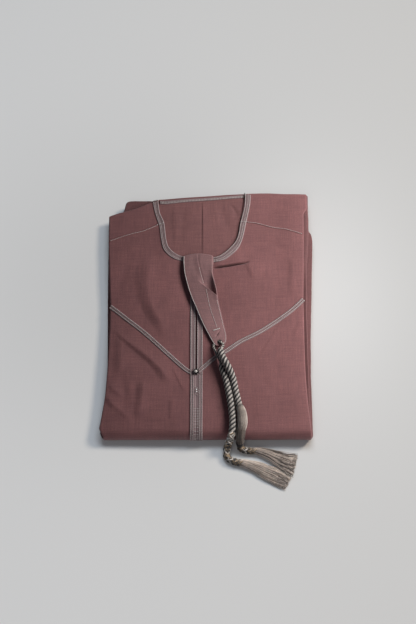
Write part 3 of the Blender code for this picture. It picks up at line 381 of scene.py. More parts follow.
def ramp_colours(tree, factor, stops):
    """A ramp of colours, where a single number is a grey."""
    node = tree.nodes.new("ShaderNodeValToRGB")
    elements = node.color_ramp.elements
    while len(elements) < len(stops):
        elements.new(0.5)
    for element, (at, colour) in zip(elements, stops):
        element.position = at
        element.color = (*(colour if isinstance(colour, tuple) else (colour,) * 3), 1.0)
    set_inputs(tree, node, {"Fac": factor})
    return node.outputs["Color"]


def toned(tree, base, share, factor, stops):
    """A colour multiplied, by a share, with a ramp over a texture."""
    values = {"Factor": share, 6: base, 7: ramp_colours(tree, factor, stops)}
    return add_node(tree, "ShaderNodeMix", values, 2, data_type="RGBA", blend_type="MULTIPLY")


def bumped(tree, shader, heights):
    """Bumps one after another: height, distance in metres, strength."""
    chained = {}
    for height, distance, strength in heights:
        values = {"Distance": distance, "Strength": strength, "Height": height, **chained}
        chained = {"Normal": add_node(tree, "ShaderNodeBump", values, "Normal")}
    set_inputs(tree, shader, chained)


def shade(colour, factor):
    return tuple(min(1.0, c * factor) for c in colour)


def painted_crease_shade(tree, start, end, width):
    """1 along a straight crease where shade is painted, falling away to 0 beside it and past its ends."""
    middle = (Vector(start) + Vector(end)) / 2.0
    run = Vector(end) - Vector(start)
    apart = vectors(tree, "SUBTRACT", (object_map(tree), (middle.x, middle.y, 0.0)))
    terms = []
    for x, y, reach, power in ((run.x, run.y, run.length / 2.0, 4.0), (-run.y, run.x, width, 2.0)):
        scale = 1.0 / (run.length * reach)
        share = vectors(tree, "DOT_PRODUCT", (apart, (x * scale, y * scale, 0.0)), "Value")
        terms.append(calculate(tree, "POWER", share, power))
    return falling_away(tree, calculate(tree, "ADD", *terms))


def twill_material(name, colour, sheen=0.3, pitch=0.0011, pressed=None):
    """Dyed cotton twill: diagonal ribs, uneven yarn and faint blotches, with shade painted along a crease
    where one is given.
    """
    mat, tree, shader = new_material(name)
    along = cloth_map(tree)
    ribs = waves(tree, stretched(tree, along, (1.0, 1.0, 1.0), math.radians(-38.0)), pitch, "X", 0.4)
    yarns = waves(tree, along, pitch * 0.5, "Y", 0.3)
    clouds = cloud(tree, along, 9.0, 4.0, 0.6)
    slubs = cloud(tree, stretched(tree, along, (520.0, 30.0, 1.0)), 1.0, 3.0)
    picks = cloud(tree, stretched(tree, along, (26.0, 520.0, 1.0)), 1.0, 3.0)
    grain = cloud(tree, stretched(tree, along, (640.0, 560.0, 1.0)), 1.0, 2.0)
    tones = [(0.30, shade(colour, 0.88)), (0.52, colour), (0.74, shade(colour, 1.12))]
    base = ramp_colours(tree, clouds, tones)
    for share, factor, stops in (
        (0.55, ribs, [(0.1, (0.74, 0.72, 0.73)), (0.8, 1.10)]),
        (0.9, slubs, [(0.32, (0.86, 0.85, 0.87)), (0.68, (1.12, 1.10, 1.09))]),
        (0.9, picks, [(0.32, (0.88, 0.88, 0.90)), (0.68, (1.10, 1.10, 1.08))]),
        (0.9, grain, [(0.34, (0.86, 0.86, 0.87)), (0.66, (1.12, 1.11, 1.11))]),
    ):
        base = toned(tree, base, share, factor, stops)
    # Painted shade: the cloth's colour darkens to about 0.4 along the given crease
    if pressed:
        line = painted_crease_shade(tree, *pressed)
        base = toned(tree, base, 1.0, line, [(0.05, 1.0), (0.9, (0.42, 0.38, 0.38))])
    set_inputs(tree, shader, {
        "Base Color": base,
        "Roughness": ramp_colours(tree, slubs, [(0.3, 0.74), (0.7, 0.88)]),
        "Sheen Weight": sheen,
        "Sheen Roughness": 0.45,
        "Sheen Tint": (0.95, 0.80, 0.80, 1.0),
        "Specular IOR Level": 0.35,
    })
    bumped(tree, shader, [
        (clouds, 0.0012, 0.25), (slubs, 0.00012, 0.5), (yarns, 0.00008, 0.5), (ribs, 0.00016, 0.8),
    ])
    return mat


def band_material(name, colour):
    """A sewn band: close lines of thread along it, over ribs across it."""
    mat, tree, shader = new_material(name)
    along = cloth_map(tree)
    lines = waves(tree, along, 0.0014, "Y", 0.6)
    ribs = waves(tree, along, 0.0009, "X", 0.5)
    patches = cloud(tree, along, 60.0, 3.0)
    base = ramp_colours(tree, patches, [(0.3, shade(colour, 0.86)), (0.7, shade(colour, 1.10))])
    base = toned(tree, base, 0.8, lines, [(0.15, (0.66, 0.62, 0.63)), (0.75, 1.12)])
    base = toned(tree, base, 0.6, ribs, [(0.1, (0.82, 0.80, 0.80)), (0.7, 1.05)])
    rough = ramp_colours(tree, lines, [(0.2, 0.78), (0.8, 0.58)])
    set_inputs(tree, shader, {
        "Base Color": base, "Roughness": rough, "Sheen Weight": 0.25, "Sheen Roughness": 0.4,
    })
    bumped(tree, shader, [(ribs, 0.00012, 0.7), (lines, 0.00020, 0.8)])
    return mat


def thread_material(name, colour, rough=0.5, twist=0.00045, gloss=0.0):
    """Spun thread, with a fine twist along it."""
    mat, tree, shader = new_material(name)
    along = cloth_map(tree)
    twists = waves(tree, stretched(tree, along, (1.0, 1.0, 1.0), math.radians(35.0)), twist, "X", 0.6)
    patches = cloud(tree, along, 120.0, 2.0)
    base = ramp_colours(tree, patches, [(0.3, shade(colour, 0.82)), (0.7, shade(colour, 1.14))])
    base = toned(tree, base, 0.7, twists, [(0.1, (0.66, 0.65, 0.64)), (0.8, 1.12)])
    uneven_rough = ramp_colours(tree, twists, [(0.2, rough + 0.14), (0.8, rough)])
    set_inputs(tree, shader, {
        "Base Color": base,
        "Roughness": uneven_rough,
        "Sheen Weight": 0.3,
        "Sheen Roughness": 0.35,
        "Metallic": gloss,
    })
    bumped(tree, shader, [(twists, twist * 0.4, 0.8)])
    return mat


def polished_material(name, colour, rough, metallic=0.0, coat=0.0):
    """Pearl or metal with slight clouding and fine scratches."""
    mat, tree, shader = new_material(name)
    where = object_map(tree)
    clouds = cloud(tree, where, 420.0, 3.0)
    marks = cloud(tree, stretched(tree, where, (4000.0, 500.0, 500.0)), 1.0, 2.0)
    base = ramp_colours(tree, clouds, [(0.35, shade(colour, 0.84)), (0.65, shade(colour, 1.12))])
    uneven_rough = ramp_colours(tree, marks, [(0.3, rough * 0.8), (0.7, rough * 1.25)])
    set_inputs(tree, shader, {
        "Base Color": base, "Roughness": uneven_rough, "Metallic": metallic, "Coat Weight": coat,
    })
    bumped(tree, shader, [(marks, 0.00002, 0.3)])
    return mat


# Small geometry


def blend(a, b, share):
    return a * (1.0 - share) + b * share


def lengths_along(path):
    return np.r_[0.0, np.cumsum(np.linalg.norm(np.diff(path, axis=0), axis=1))]


def follow(table, steps, at):
    """The columns of a table of points at distances along it."""
    return np.stack([np.interp(at, steps, column) for column in table.T], axis=1)


def resample(points, count, smooth=True):
    """Points at equal steps along a table's curve."""
    p = np.array(points, float)
    path = p
    if smooth:
        q = np.vstack([p[:1], p, p[-1:]])
        f = np.linspace(0.0, 1.0, 24, endpoint=False)[:, None]
        parts = []
        for a, b, c, d in zip(q, q[1:], q[2:], q[3:]):
            parts.append(0.5 * (2 * b + (c - a) * f + (2 * a - 5 * b + 4 * c - d) * f ** 2
                                + (3 * b - a - 3 * c + d) * f ** 3))
        path = np.vstack(parts + [p[-1:]])
    steps = lengths_along(path)
    return follow(path, steps, np.linspace(0.0, steps[-1], count + 1))


def unit(v):
    return v / np.maximum(np.linalg.norm(v, axis=-1, keepdims=True), 1e-12)


def circle(sides):
    return 2.0 * math.pi * np.arange(sides) / sides


def read_table(rows, at):
    keys, values = np.array(rows, float).T
    return np.interp(at, keys, values)


def smooth_step(t):
    t = np.clip(t, 0.0, 1.0)
    return t * t * (3.0 - 2.0 * t)


def uneven(x, y, seed, scale_x, scale_y):
    """Soft noise over the cloth, from -1 to 1."""
    flat = [noise.noise((a / scale_x, b / scale_y, seed)) for a, b in zip(np.ravel(x), np.ravel(y))]
    return np.reshape(flat, np.shape(x))


def grid_faces(rows, cols, closed=False):
    r = np.arange(rows - 1)[:, None] * cols
    c = np.arange(cols if closed else cols - 1)[None, :]
    d = (c + 1) % cols
    return np.stack([r + c, r + d, r + d + cols, r + c + cols], axis=-1).reshape(-1, 4)


def tube_faces(rows, sides):
    """The faces between rings and those that close the two ends."""
    ring = np.arange(sides)
    return [grid_faces(rows, sides, True), ring[::-1][None], (ring + (rows - 1) * sides)[None]]


def cloth_grid(along, across):
    """Cloth coordinates from the distances along a grid and across it."""
    return np.stack(np.broadcast_arrays(along[:, None], across[None]), axis=-1)


class Parts:
    """Vertices, faces, material numbers and cloth coordinates of one piece, in metres."""

    def __init__(self):
        self.verts = []
        self.faces = []
        self.slots = []
        self.maps = []
        self.count = 0

    def add(self, verts, faces, slot=0, cloth=None):
        verts = np.asarray(verts, float).reshape(-1, 3)
        self.verts.append(verts)
        for block in faces:
            self.faces.extend((np.asarray(block) + self.count).tolist())
            self.slots.extend(np.broadcast_to(slot, len(block)).tolist())
        if cloth is None:
            cloth = verts[:, :2]
        self.maps.append(np.asarray(cloth, float).reshape(-1, 2))
        self.count += len(verts)

    def build(self, name, materials, sharp=50.0):
        mesh = bpy.data.meshes.new(name)
        mesh.from_pydata(np.vstack(self.verts).tolist(), [], self.faces)
        for mat in materials:
            mesh.materials.append(mat)
        mesh.polygons.foreach_set("material_index", np.array(self.slots, np.int32))
        corner = np.zeros(len(mesh.loops), np.int32)
        mesh.loops.foreach_get("vertex_index", corner)
        layer = mesh.uv_layers.new(name="cloth")
        layer.data.foreach_set("uv", np.vstack(self.maps)[corner].astype(np.float32).ravel())
        mesh.shade_smooth()
        mesh.set_sharp_from_angle(angle=math.radians(sharp))
        mesh.update()
        obj = link_object(name, mesh)
        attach(obj, "root")
        return obj


def carried(path):
    """Side and up directions carried along a path without twist."""
    t = unit(np.gradient(path, axis=0))
    n = np.zeros_like(t)
    hint = UP if abs(t[0, 2]) < 0.8 else np.array((1.0, 0.0, 0.0))
    n[0] = unit(hint - t[0] * (hint @ t[0]))
    for k in range(1, len(t)):
        n[k] = unit(n[k - 1] - t[k] * (n[k - 1] @ t[k]))
    return n, np.cross(t, n)


def rings_round(path, angles, size):
    """Rings of points round a path, at angles and distances given by row and side."""
    n, b = carried(path)
    turn = angles[..., None]
    return path[:, None] + (n[:, None] * np.cos(turn) + b[:, None] * np.sin(turn)) * size[..., None]


def add_tube(parts, path, radius, sides, slot=0, closed=False):
    """A round thread along a path, in metres."""
    angles = circle(sides)
    rings = rings_round(path, angles[None], np.full((len(path), 1), radius))
    faces = tube_faces(len(path), sides)
    if closed:
        faces = [grid_faces(len(path) + 1, sides, True) % (len(path) * sides)]
    parts.add(rings, faces, slot, cloth_grid(lengths_along(path), angles * radius))


# Heights of the lying cloth


def dome(x, y):
    left = np.clip((-x - 10.0) / 180.0, 0.0, 1.0)
    back = np.clip((y - 120.0) / 120.0, 0.0, 1.0)
    fall = LEFT_FALL + 2.2 * np.exp(-((y + 10.0) / 70.0) ** 2)
    border = RIGHT_RISE * smooth_step((x - 118.0) / 50.0)
    return HEIGHT - fall * left ** 2 + border - BACK_FALL * back ** 2


def lines_at(x, y, rows):
    """How deep or high the strongest of some soft lines is at each point."""
    best = np.zeros(np.shape(x))
    for x0, y0, x1, y1, bow, deep, half in rows:
        run = np.array((x1 - x0, y1 - y0))
        size = np.linalg.norm(run)
        ax, ay = run / size
        along = ((x - x0) * ax + (y - y0) * ay) / size
        inside = np.clip(along, 0.0, 1.0)
        side = (x - x0) * -ay + (y - y0) * ax - bow * 4.0 * inside * (1.0 - inside)
        over = (along - inside) * size
        share = np.clip(1.0 - (2.0 * inside - 1.0) ** 4, 0.0, 1.0)
        wide = half * (0.75 + 0.5 * inside)
        best = np.maximum(best, deep * share * np.exp(-(side ** 2 + over ** 2) / wide ** 2))
    return best


def soft_folds(x, y, rows):
    """Low folds along curved lines: the cloth climbs across each line and sinks slowly beyond it."""
    x, y = np.broadcast_arrays(np.asarray(x, float), np.asarray(y, float))
    total = np.zeros(x.shape)
    for points, high, wide, reach in rows:
        line = resample(points, 20)
        low = line.min(axis=0) - reach * 3.5 - wide[1]
        far = line.max(axis=0) + reach * 3.5 + wide[1]
        close = (x > low[0]) & (x < far[0]) & (y > low[1]) & (y < far[1])
        if not close.any():
            continue
        px, py = x[close], y[close]
        near = np.full(px.shape, 1e9)
        side = np.zeros(px.shape)
        along = np.zeros(px.shape)
        for k, (start, run) in enumerate(zip(line[:-1], np.diff(line, axis=0))):
            size = float(np.linalg.norm(run))
            ax, ay = run / size
            dx, dy = px - start[0], py - start[1]
            t = np.clip((dx * ax + dy * ay) / size, 0.0, 1.0)
            away = np.hypot(dx - ax * t * size, dy - ay * t * size)
            closer = away < near
            near = np.where(closer, away, near)
            side = np.where(closer, dy * ax - dx * ay, side)
            along = np.where(closer, (k + t) / 20.0, along)
        width = wide[0] + (wide[1] - wide[0]) * along
        share = smooth_step(along / 0.25) * smooth_step((1.0 - along) / 0.3)
        rise = smooth_step(side / width + 0.5) * np.exp(-np.maximum(side - width / 2, 0.0) / reach)
        total[close] += (high[0] + (high[1] - high[0]) * along) * share * rise
    return total


def beside_tab(x, y):
    """The hollow that the tab's raised edge leaves in the cloth on its left."""
    rows = np.array([(row[1], row[0]) for row in TAB_ROWS[::-1]])
    away = np.interp(y, rows[:, 0], rows[:, 1]) - x
    fade = smooth_step((y + 34.0) / 70.0) * (1.0 - 0.6 * smooth_step((y - 80.0) / 22.0))
    return -1.9 * fade * np.exp(-((away - 4.0) / 8.0) ** 2)


def top(x, y):
    """The upper side of the bundle."""
    x = np.asarray(x, float)
    y = np.asarray(y, float)
    ripple = 0.62 * uneven(x, y, 1.7, 58.0, 96.0) + 0.26 * uneven(x, y, 5.3, 19.0, 36.0)
    ripple = ripple + 0.07 * uneven(x, y, 9.1, 6.0, 12.0)
    folds = soft_folds(x, y, FOLDS) + lines_at(x, y, RIDGES) - lines_at(x, y, CREASES)
    sunk = -2.0 * smooth_step((-60.0 - x) / 52.0) * smooth_step((y + 40.0) / 60.0)
    return dome(x, y) + folds + ripple + sunk + beside_tab(x, y)


def back_top(x, y):
    """The inside of the back, seen through the neck."""
    ripple = 0.25 * uneven(x, y, 3.3, 48.0, 70.0) + 0.08 * uneven(x, y, 8.3, 15.0, 24.0)
    folds = soft_folds(x, y, BACK_FOLDS) + lines_at(x, y, BACK_RIDGES) - lines_at(x, y, BACK_CREASES)
    return dome(x, y) - BACK_DROP + folds + ripple


# Panels


def lifted(plan, height):
    """Points on the cloth from plan points: X, Y, Z and the cloth coordinates."""
    x, y = plan[..., 0], plan[..., 1]
    return np.stack([x, y, height(x, y), x, y], axis=-1)


def curl(edge, out, down, radius=CURL_RADIUS, steps=CURL_STEPS):
    """Turn the cloth under past an edge. Edge rows have X, Y, Z and cloth coordinates."""
    out = np.broadcast_to(out, edge.shape[:-1] + (3,))
    down = np.broadcast_to(down, edge.shape[:-1] + (3,))
    flat_out = unit(out[..., :2])
    made = []
    for angle in steps:
        p = edge[..., :3] + out * (radius * math.sin(angle)) + down * (radius * (1.0 - math.cos(angle)))
        cloth = edge[..., 3:] + flat_out * (radius * angle)
        made.append(np.concatenate([p, cloth], axis=-1))
    return np.stack(made, axis=0)


def with_side_curl(grid, side, down=DOWN, radius=CURL_RADIUS):
    """Add the turned-under columns at the left (-1) or right (1) of a grid of rows."""
    edge = grid[:, 0] if side < 0 else grid[:, -1]
    extra = np.moveaxis(curl(edge, np.array((float(side), 0.0, 0.0)), down, radius), 0, 1)
    if side < 0:
        return np.concatenate([extra[:, ::-1], grid], axis=1)
    return np.concatenate([grid, extra], axis=1)


def ended_at(points, limit, side):
    """A plan line cut where it reaches a limit of X on one side."""
    p = np.array(points, float)
    inside = p[p[:, 0] > limit] if side < 0 else p[p[:, 0] < limit]
    order = np.argsort(p[:, 0])
    end = (limit, float(np.interp(limit, p[order, 0], p[order, 1])))
    return np.vstack([[end], inside]) if side < 0 else np.vstack([inside, [end]])


def both_sides(row, down=DOWN, radius=CURL_RADIUS):
    """A single row with the cloth turned under at both ends."""
    return with_side_curl(with_side_curl(row[None], -1, down, radius), 1, down, radius)[0]


def ruled(lower, upper, rows):
    return blend(lower[None], upper[None], np.linspace(0.0, 1.0, rows + 1)[:, None, None])


def ruled_round(lower, upper):
    """Ruled rows that follow the sharp crease closely, with fine rows within reach of it."""
    x0, y0, x1, y1 = SHARP_LINE
    slope = (y1 - y0) / (x1 - x0)
    run = upper - lower
    at = (y0 + slope * (lower[:, 0] - x0) - lower[:, 1]) / (run[:, 1] - slope * run[:, 0])
    near = SHARP_REACH / np.linalg.norm(run, axis=1)
    before, fine, behind = SHARP_ROWS
    before = np.linspace(0.0, 1.0, before + 1)[:-1, None] * (at - near)[None]
    close = (at - near)[None] + np.linspace(0.0, 1.0, fine + 1)[:, None] * (2.0 * near)[None]
    after = (at + near)[None] + np.linspace(0.0, 1.0, behind + 1)[1:, None] * (1.0 - at - near)[None]
    return blend(lower[None], upper[None], np.vstack([before, close, after])[..., None])


def cloth_sheet(name, grid, materials, wall=WALL):
    """A closed sheet from a grid on its outer face, thickened inwards."""
    outer = grid[..., :3]
    rows, cols = outer.shape[:2]
    n = unit(np.cross(np.gradient(outer, axis=1), np.gradient(outer, axis=0)))
    inner = outer - n * wall
    count = rows * cols
    front = grid_faces(rows, cols)
    back = front[:, ::-1] + count
    ring = np.concatenate([
        np.arange(cols),
        np.arange(1, rows) * cols + cols - 1,
        np.arange(cols - 2, -1, -1) + (rows - 1) * cols,
        np.arange(rows - 2, 0, -1) * cols,
    ])
    after = np.roll(ring, -1)
    rim = np.stack([after, ring, ring + count, after + count], axis=-1)
    parts = Parts()
    maps = np.concatenate([grid[..., 3:], grid[..., 3:]]) * MM
    parts.add(np.concatenate([outer, inner]) * MM, [front, back, rim], 0, maps)
    return parts.build(name, materials)


def seam_line(side, columns):
    """Plan points on the shaped seam, shared by the panels above and below it."""
    if side < 0:
        xs = np.linspace(V_LEFT[0][0] + CURL_RADIUS, SLIT_LEFT, columns + 1)
        return np.stack([xs, read_table(V_LEFT, xs)], axis=1)
    xs = np.linspace(SLIT_RIGHT, V_RIGHT[-1][0] - CURL_RADIUS, columns + 1)
    return np.stack([xs, read_table(V_RIGHT, xs)], axis=1)


HALF_SEAM = np.array((0.0, SEAM_GAP / 2))


def front_upper(name, side, shoulder, neck, materials):
    """A front panel above the shaped seam."""
    columns = LEFT_COLUMNS if side < 0 else RIGHT_COLUMNS
    lower = seam_line(side, columns) + HALF_SEAM
    limit = shoulder[0 if side < 0 else -1][0] - side * CURL_RADIUS
    along_seam = resample(ended_at(shoulder, limit, side), columns - NECK_COLUMNS, False) - HALF_SEAM
    if side < 0:
        upper = np.vstack([along_seam, resample(neck, NECK_COLUMNS)[1:]])
        plan = ruled(lower, upper, UPPER_ROWS)
    else:
        upper = np.vstack([resample(neck[::-1], NECK_COLUMNS)[:-1], along_seam])
        plan = ruled_round(lower, upper)
    return cloth_sheet(name, with_side_curl(lifted(plan, top), side), materials)


def shoulder_panel(name, seam, crest, side, rows, materials):
    """The back panel in front of the shoulder fold, turned under at that fold and the side."""
    columns = (LEFT_COLUMNS if side < 0 else RIGHT_COLUMNS) - NECK_COLUMNS
    index = 0 if side < 0 else -1
    inset = side * CURL_RADIUS
    lower = resample(ended_at(seam, seam[index][0] - inset, side), columns, False) + HALF_SEAM
    upper = resample(ended_at(resample(crest, 200), crest[index][0] - inset, side), columns, False)
    run = unit(np.gradient(upper, axis=0))
    outs = np.stack([-run[:, 1], run[:, 0], np.zeros(len(run))], axis=1)
    plan = ruled(lower, upper - outs[:, :2] * CURL_RADIUS, rows)
    if side > 0:
        flare = smooth_step((plan[..., 1] - 197.0) / 12.0) * smooth_step((plan[..., 0] - 140.0) / 32.0)
        plan[..., 0] = plan[..., 0] + SHOULDER_FLARE * flare
    grid = lifted(plan, top)
    crest_row = grid[-1]
    grid = with_side_curl(grid, side)
    turned = curl(crest_row, outs, DOWN)
    rows_extra = []
    for back_angle, row in zip(CURL_STEPS, turned):
        extra = []
        for side_angle in CURL_STEPS:
            angle = max(side_angle, back_angle) + 0.12 * min(side_angle, back_angle)
            out = unit(np.array((side, 0.0, 0.0)) * side_angle + outs[index] * back_angle)
            extra.append(curl(crest_row[index], out, DOWN, CURL_RADIUS, (min(angle, math.pi),))[0])
        rows_extra.append(np.vstack([extra[::-1], row]) if side < 0 else np.vstack([row, extra]))
    return cloth_sheet(name, np.concatenate([grid, np.array(rows_extra)], axis=0), materials)


def fold_shares(turn, power):
    across = max(math.sin(turn), 0.0) ** power
    return across, math.copysign(abs(math.cos(turn)) ** power, math.cos(turn))


def fold_normal(turn):
    across, along = fold_shares(turn, 2.0 - 2.0 / FOLD_POWER)
    return unit(np.array((0.0, -across / FOLD_REACH, along * 2.0 / HEIGHT)))


def fold_points(x, turn):
    """Points on the fold across the waist, turn 0 at its top and pi at its bottom."""
    x = np.asarray(x, float)
    half = dome(x, FOLD_AXIS + x * 0.0) / 2
    across, along = fold_shares(turn, 2.0 / FOLD_POWER)
    return np.stack([x, np.full_like(x, FOLD_AXIS - FOLD_REACH * across), half + half * along], axis=-1)


def above_dome(x, turn):
    """How far the folds still rise over the plain dome just past the top of the waist fold."""
    y = np.full_like(x, FOLD_AXIS)
    return (top(x, y) - dome(x, y)) * float(1.0 - smooth_step(turn / 0.35))


def front_columns(y, reach):
    left = np.linspace(read_table(LEFT_EDGE, y) + reach, SLIT_LEFT, LEFT_COLUMNS + 1)
    right = np.linspace(SLIT_RIGHT, read_table(RIGHT_EDGE, y) - reach, RIGHT_COLUMNS + 1)
    return np.concatenate([left, right])


def front_lower(materials):
    """The front below the shaped seam, round the waist fold and flat under the bundle."""
    seam = np.vstack([seam_line(-1, LEFT_COLUMNS), seam_line(1, RIGHT_COLUMNS)])
    rows = []
    flat_rows = 60
    for r in range(flat_rows, 0, -1):
        share = r / flat_rows
        y = blend(FOLD_AXIS, seam[:, 1], share)
        xs = np.array([front_columns(v, CURL_RADIUS)[c] for c, v in enumerate(y)])
        x = blend(xs, seam[:, 0], share)
        if r == flat_rows:
            y = y - SEAM_GAP / 2
        rows.append(both_sides(lifted(np.stack([x, y], axis=1), top)))
    run = 0.0
    before = fold_points(0.0, 0.0)
    for turn in np.linspace(0.0, math.pi, 37):
        here = fold_points(0.0, turn)
        run += float(np.linalg.norm(here - before))
        before = here
        radius = CURL_RADIUS * (1.0 - smooth_step((turn - 1.7) / 1.2)) + UNDER_RADIUS
        x = front_columns(float(here[1]), radius)
        down = -fold_normal(turn)
        round_fold = np.full_like(x, turn * 18.0)
        wave = 0.5 * uneven(x, round_fold, 2.2, 40.0, 30.0) + 0.35 * uneven(x, round_fold, 6.2, 13.0, 26.0)
        ease = math.sin(turn) ** 0.5 if 0.0 < turn < math.pi * 0.92 else 0.0
        p = fold_points(x, turn) - down * (wave * ease * 0.7 + above_dome(x, turn))[:, None]
        cloth = np.stack([x, np.full_like(x, FOLD_AXIS - run)], axis=1)
        rows.append(both_sides(np.concatenate([p, cloth], axis=1), down, radius))
    for share in np.linspace(0.04, 1.0, 10):
        x = front_columns(UNDER_REAR[-1][1] * share, UNDER_RADIUS)
        y = blend(FOLD_AXIS, read_table(UNDER_REAR, x), share)
        row = np.stack([x, y, np.zeros_like(x), x, FOLD_AXIS - run - (y - FOLD_AXIS)], axis=1)
        rows.append(both_sides(row, UP, UNDER_RADIUS))
    grid = np.array(rows)[::-1]
    grid[..., 2] = np.maximum(grid[..., 2], 0.0)
    return cloth_sheet("front_length", grid, materials)


def inside_back(materials):
    """The inside of the back, turned under at the shoulder fold."""
    rear = resample(BACK_CREST, BACK_COLUMNS) - np.array((0.0, CURL_RADIUS))
    grid = lifted(ruled(resample(BACK_UNDER, BACK_COLUMNS), rear, BACK_ROWS), back_top)
    turned = curl(grid[-1], np.array((0.0, 1.0, 0.0)), DOWN)
    return cloth_sheet("back_cloth", np.concatenate([grid, turned], axis=0), materials)


def tucked(x, y, z):
    """Keep points inside the fold across the waist, as far as the front cloth reaches."""
    base = WALL + GAP
    rise = np.clip(np.abs(z - HEIGHT / 2) / (HEIGHT / 2 - base), 0.0, 1.0)
    narrow = (1.0 - rise ** FOLD_POWER) ** (1.0 / FOLD_POWER)
    beyond = smooth_step((x - 180.0) / 3.0) * smooth_step((z - HEIGHT * 0.3) / 5.0)
    narrow = narrow + (1.0 - narrow) * beyond
    return np.where(y < FOLD_AXIS, FOLD_AXIS + (y - FOLD_AXIS) * narrow, y)


def rounded_outline(outline, seed, inset):
    """An outline with softened corners and slightly uneven edges, and its outward directions."""
    ring = resample([*outline, outline[0]], OUTLINE_POINTS, False)[:-1]
    for _ in range(2):
        ring = (np.roll(ring, 1, axis=0) + ring * 2.0 + np.roll(ring, -1, axis=0)) / 4.0
    run = unit(np.roll(ring, -1, axis=0) - np.roll(ring, 1, axis=0))
    out = np.stack([run[:, 1], -run[:, 0]], axis=1)
    shift = inset + 0.9 * (0.5 + 0.5 * uneven(ring[:, 0], ring[:, 1], seed * 1.0, 46.0, 46.0))
    shift = shift + 0.25 * uneven(ring[:, 0], ring[:, 1], seed * 2.0, 11.0, 11.0)
    return ring - out * shift[:, None], out


def folded_layer(name, low, high, outline, inset, seed, materials):
    """One folded length of cloth: two plies that meet in a rounded edge."""
    ring, out = rounded_outline(outline, seed, inset)
    base = CAD_WALL + GAP

    def height(p, share):
        x, y = p.T
        z = base + share * (dome(x, y) - LAYERS_BELOW - base)
        if share > 0.8:
            beside = smooth_step((x - 172.8) / 2.6) * smooth_step((200.0 - y) / 10.0)
            z = z + EDGE_RISE * beside * smooth_step((y + 190.0) / 60.0) * (share - 0.8) / 0.2
        return z + 0.16 * uneven(x, y, seed * 3.0, 24.0, 24.0)

    half = (high - low) / 2.0 * (HEIGHT - LAYERS_BELOW - base) - 0.05
    inner = ring - out * (half + 4.0)
    plan = [inner * (1.0 - inward / 230.0) for inward in (40.0, 22.0, 10.0)] + [inner]
    rings = [np.column_stack([p, height(p, low) + PLY_CLEAR]) for p in plan]
    for angle in np.radians(np.linspace(-90.0, 90.0, 13)):
        notch = 0.45 * math.exp(-(angle / 0.16) ** 2)
        p = ring - out * (half * (1.0 - math.cos(angle)) + notch)
        middle = (height(p, low) + height(p, high)) / 2.0
        rings.append(np.column_stack([p, middle + half * math.sin(angle)]))
    rings += [np.column_stack([p, height(p, high) - PLY_CLEAR]) for p in plan[::-1]]
    rings = np.array(rings)
    rings[..., 1] = tucked(rings[..., 0], rings[..., 1], rings[..., 2])
    steps = np.linalg.norm(np.diff(rings, axis=0), axis=2).mean(axis=1)
    maps = cloth_grid(np.r_[0.0, np.cumsum(steps)], lengths_along(ring))[..., ::-1]
    parts = Parts()
    parts.add(rings * MM, tube_faces(len(rings), len(ring)), 0, maps * MM)
    return parts.build(name, materials, 70.0)


# Bands, seams and stitches


def side_lines(middle, width):
    run = unit(np.gradient(middle, axis=0))
    across = np.stack([-run[:, 1], run[:, 0]], axis=1) * (width / 2)
    return middle + across, middle - across


def rounded(t, power):
    """1 across a band, with round edges."""
    return np.clip(1.0 - np.abs(2.0 * t - 1.0) ** power, 0.0, 1.0) ** 0.5


def band_height(t, middle):
    """Height of a sewn band across its width: two piped edges and a lower middle."""
    pipes = np.exp(-((t - 0.17) / 0.10) ** 2) + np.exp(-((t - 0.83) / 0.10) ** 2)
    return rounded(t, 9) * (middle + (1.0 - middle) * np.clip(pipes, 0.0, 1.0))


def make_band(name, inner, outer, surface, rise, middle, materials, columns=16):
    """A raised band between two plan lines, and the grid of its upper face."""
    t = np.linspace(0.0, 1.0, columns + 1)
    plan = blend(inner[:, None], outer[:, None], t[None, :, None])
    ground = surface(plan[..., 0], plan[..., 1])
    z = ground + BAND_CLEAR + rise * band_height(t, middle)[None]
    upper = np.concatenate([plan, z[..., None]], axis=-1)
    lower = np.concatenate([plan, (ground + BAND_SOLE)[..., None]], axis=-1)
    return closed_piece(name, upper, lower, materials), upper


def closed_piece(name, upper, lower, materials):
    """A closed piece from the grids of its upper and lower faces."""
    rows, cols = upper.shape[:2]
    cloth = cloth_grid(lengths_along(upper[:, cols // 2]), lengths_along(upper[rows // 2]))
    ring = np.concatenate([upper, lower[:, ::-1]], axis=1)
    maps = np.concatenate([cloth, cloth[:, ::-1]], axis=1)
    faces = tube_faces(rows, 2 * cols)
    normal = np.cross(np.gradient(upper, axis=0), np.gradient(upper, axis=1)).mean(axis=(0, 1))
    facing = lower.mean(axis=(0, 1)) - upper.mean(axis=(0, 1))
    if float(normal @ facing) >= 0.0:
        faces = [face[:, ::-1] for face in faces]
    parts = Parts()
    parts.add(ring * MM, faces, 0, maps * MM)
    return parts.build(name, materials, 60.0)


STITCH_RINGS = ((-0.42, 0.55), (-0.26, 0.95), (0.26, 0.95), (0.42, 0.55))
STITCH_SIDES = 6


def stitches(parts, path, normals, length, gap, width, slot=0):
    """Small rounded stitches along a path, in millimetres."""
    along = lengths_along(path)
    count = int(along[-1] / (length + gap))
    if count < 1:
        return
    at = (np.arange(count) + 0.5) * along[-1] / count
    up = unit(follow(np.broadcast_to(normals, path.shape), along, at))
    run = unit(follow(path, along, at + 0.4) - follow(path, along, at - 0.4))
    place_stitches(parts, follow(path, along, at), run, unit(np.cross(up, run)), up, length, width, slot)


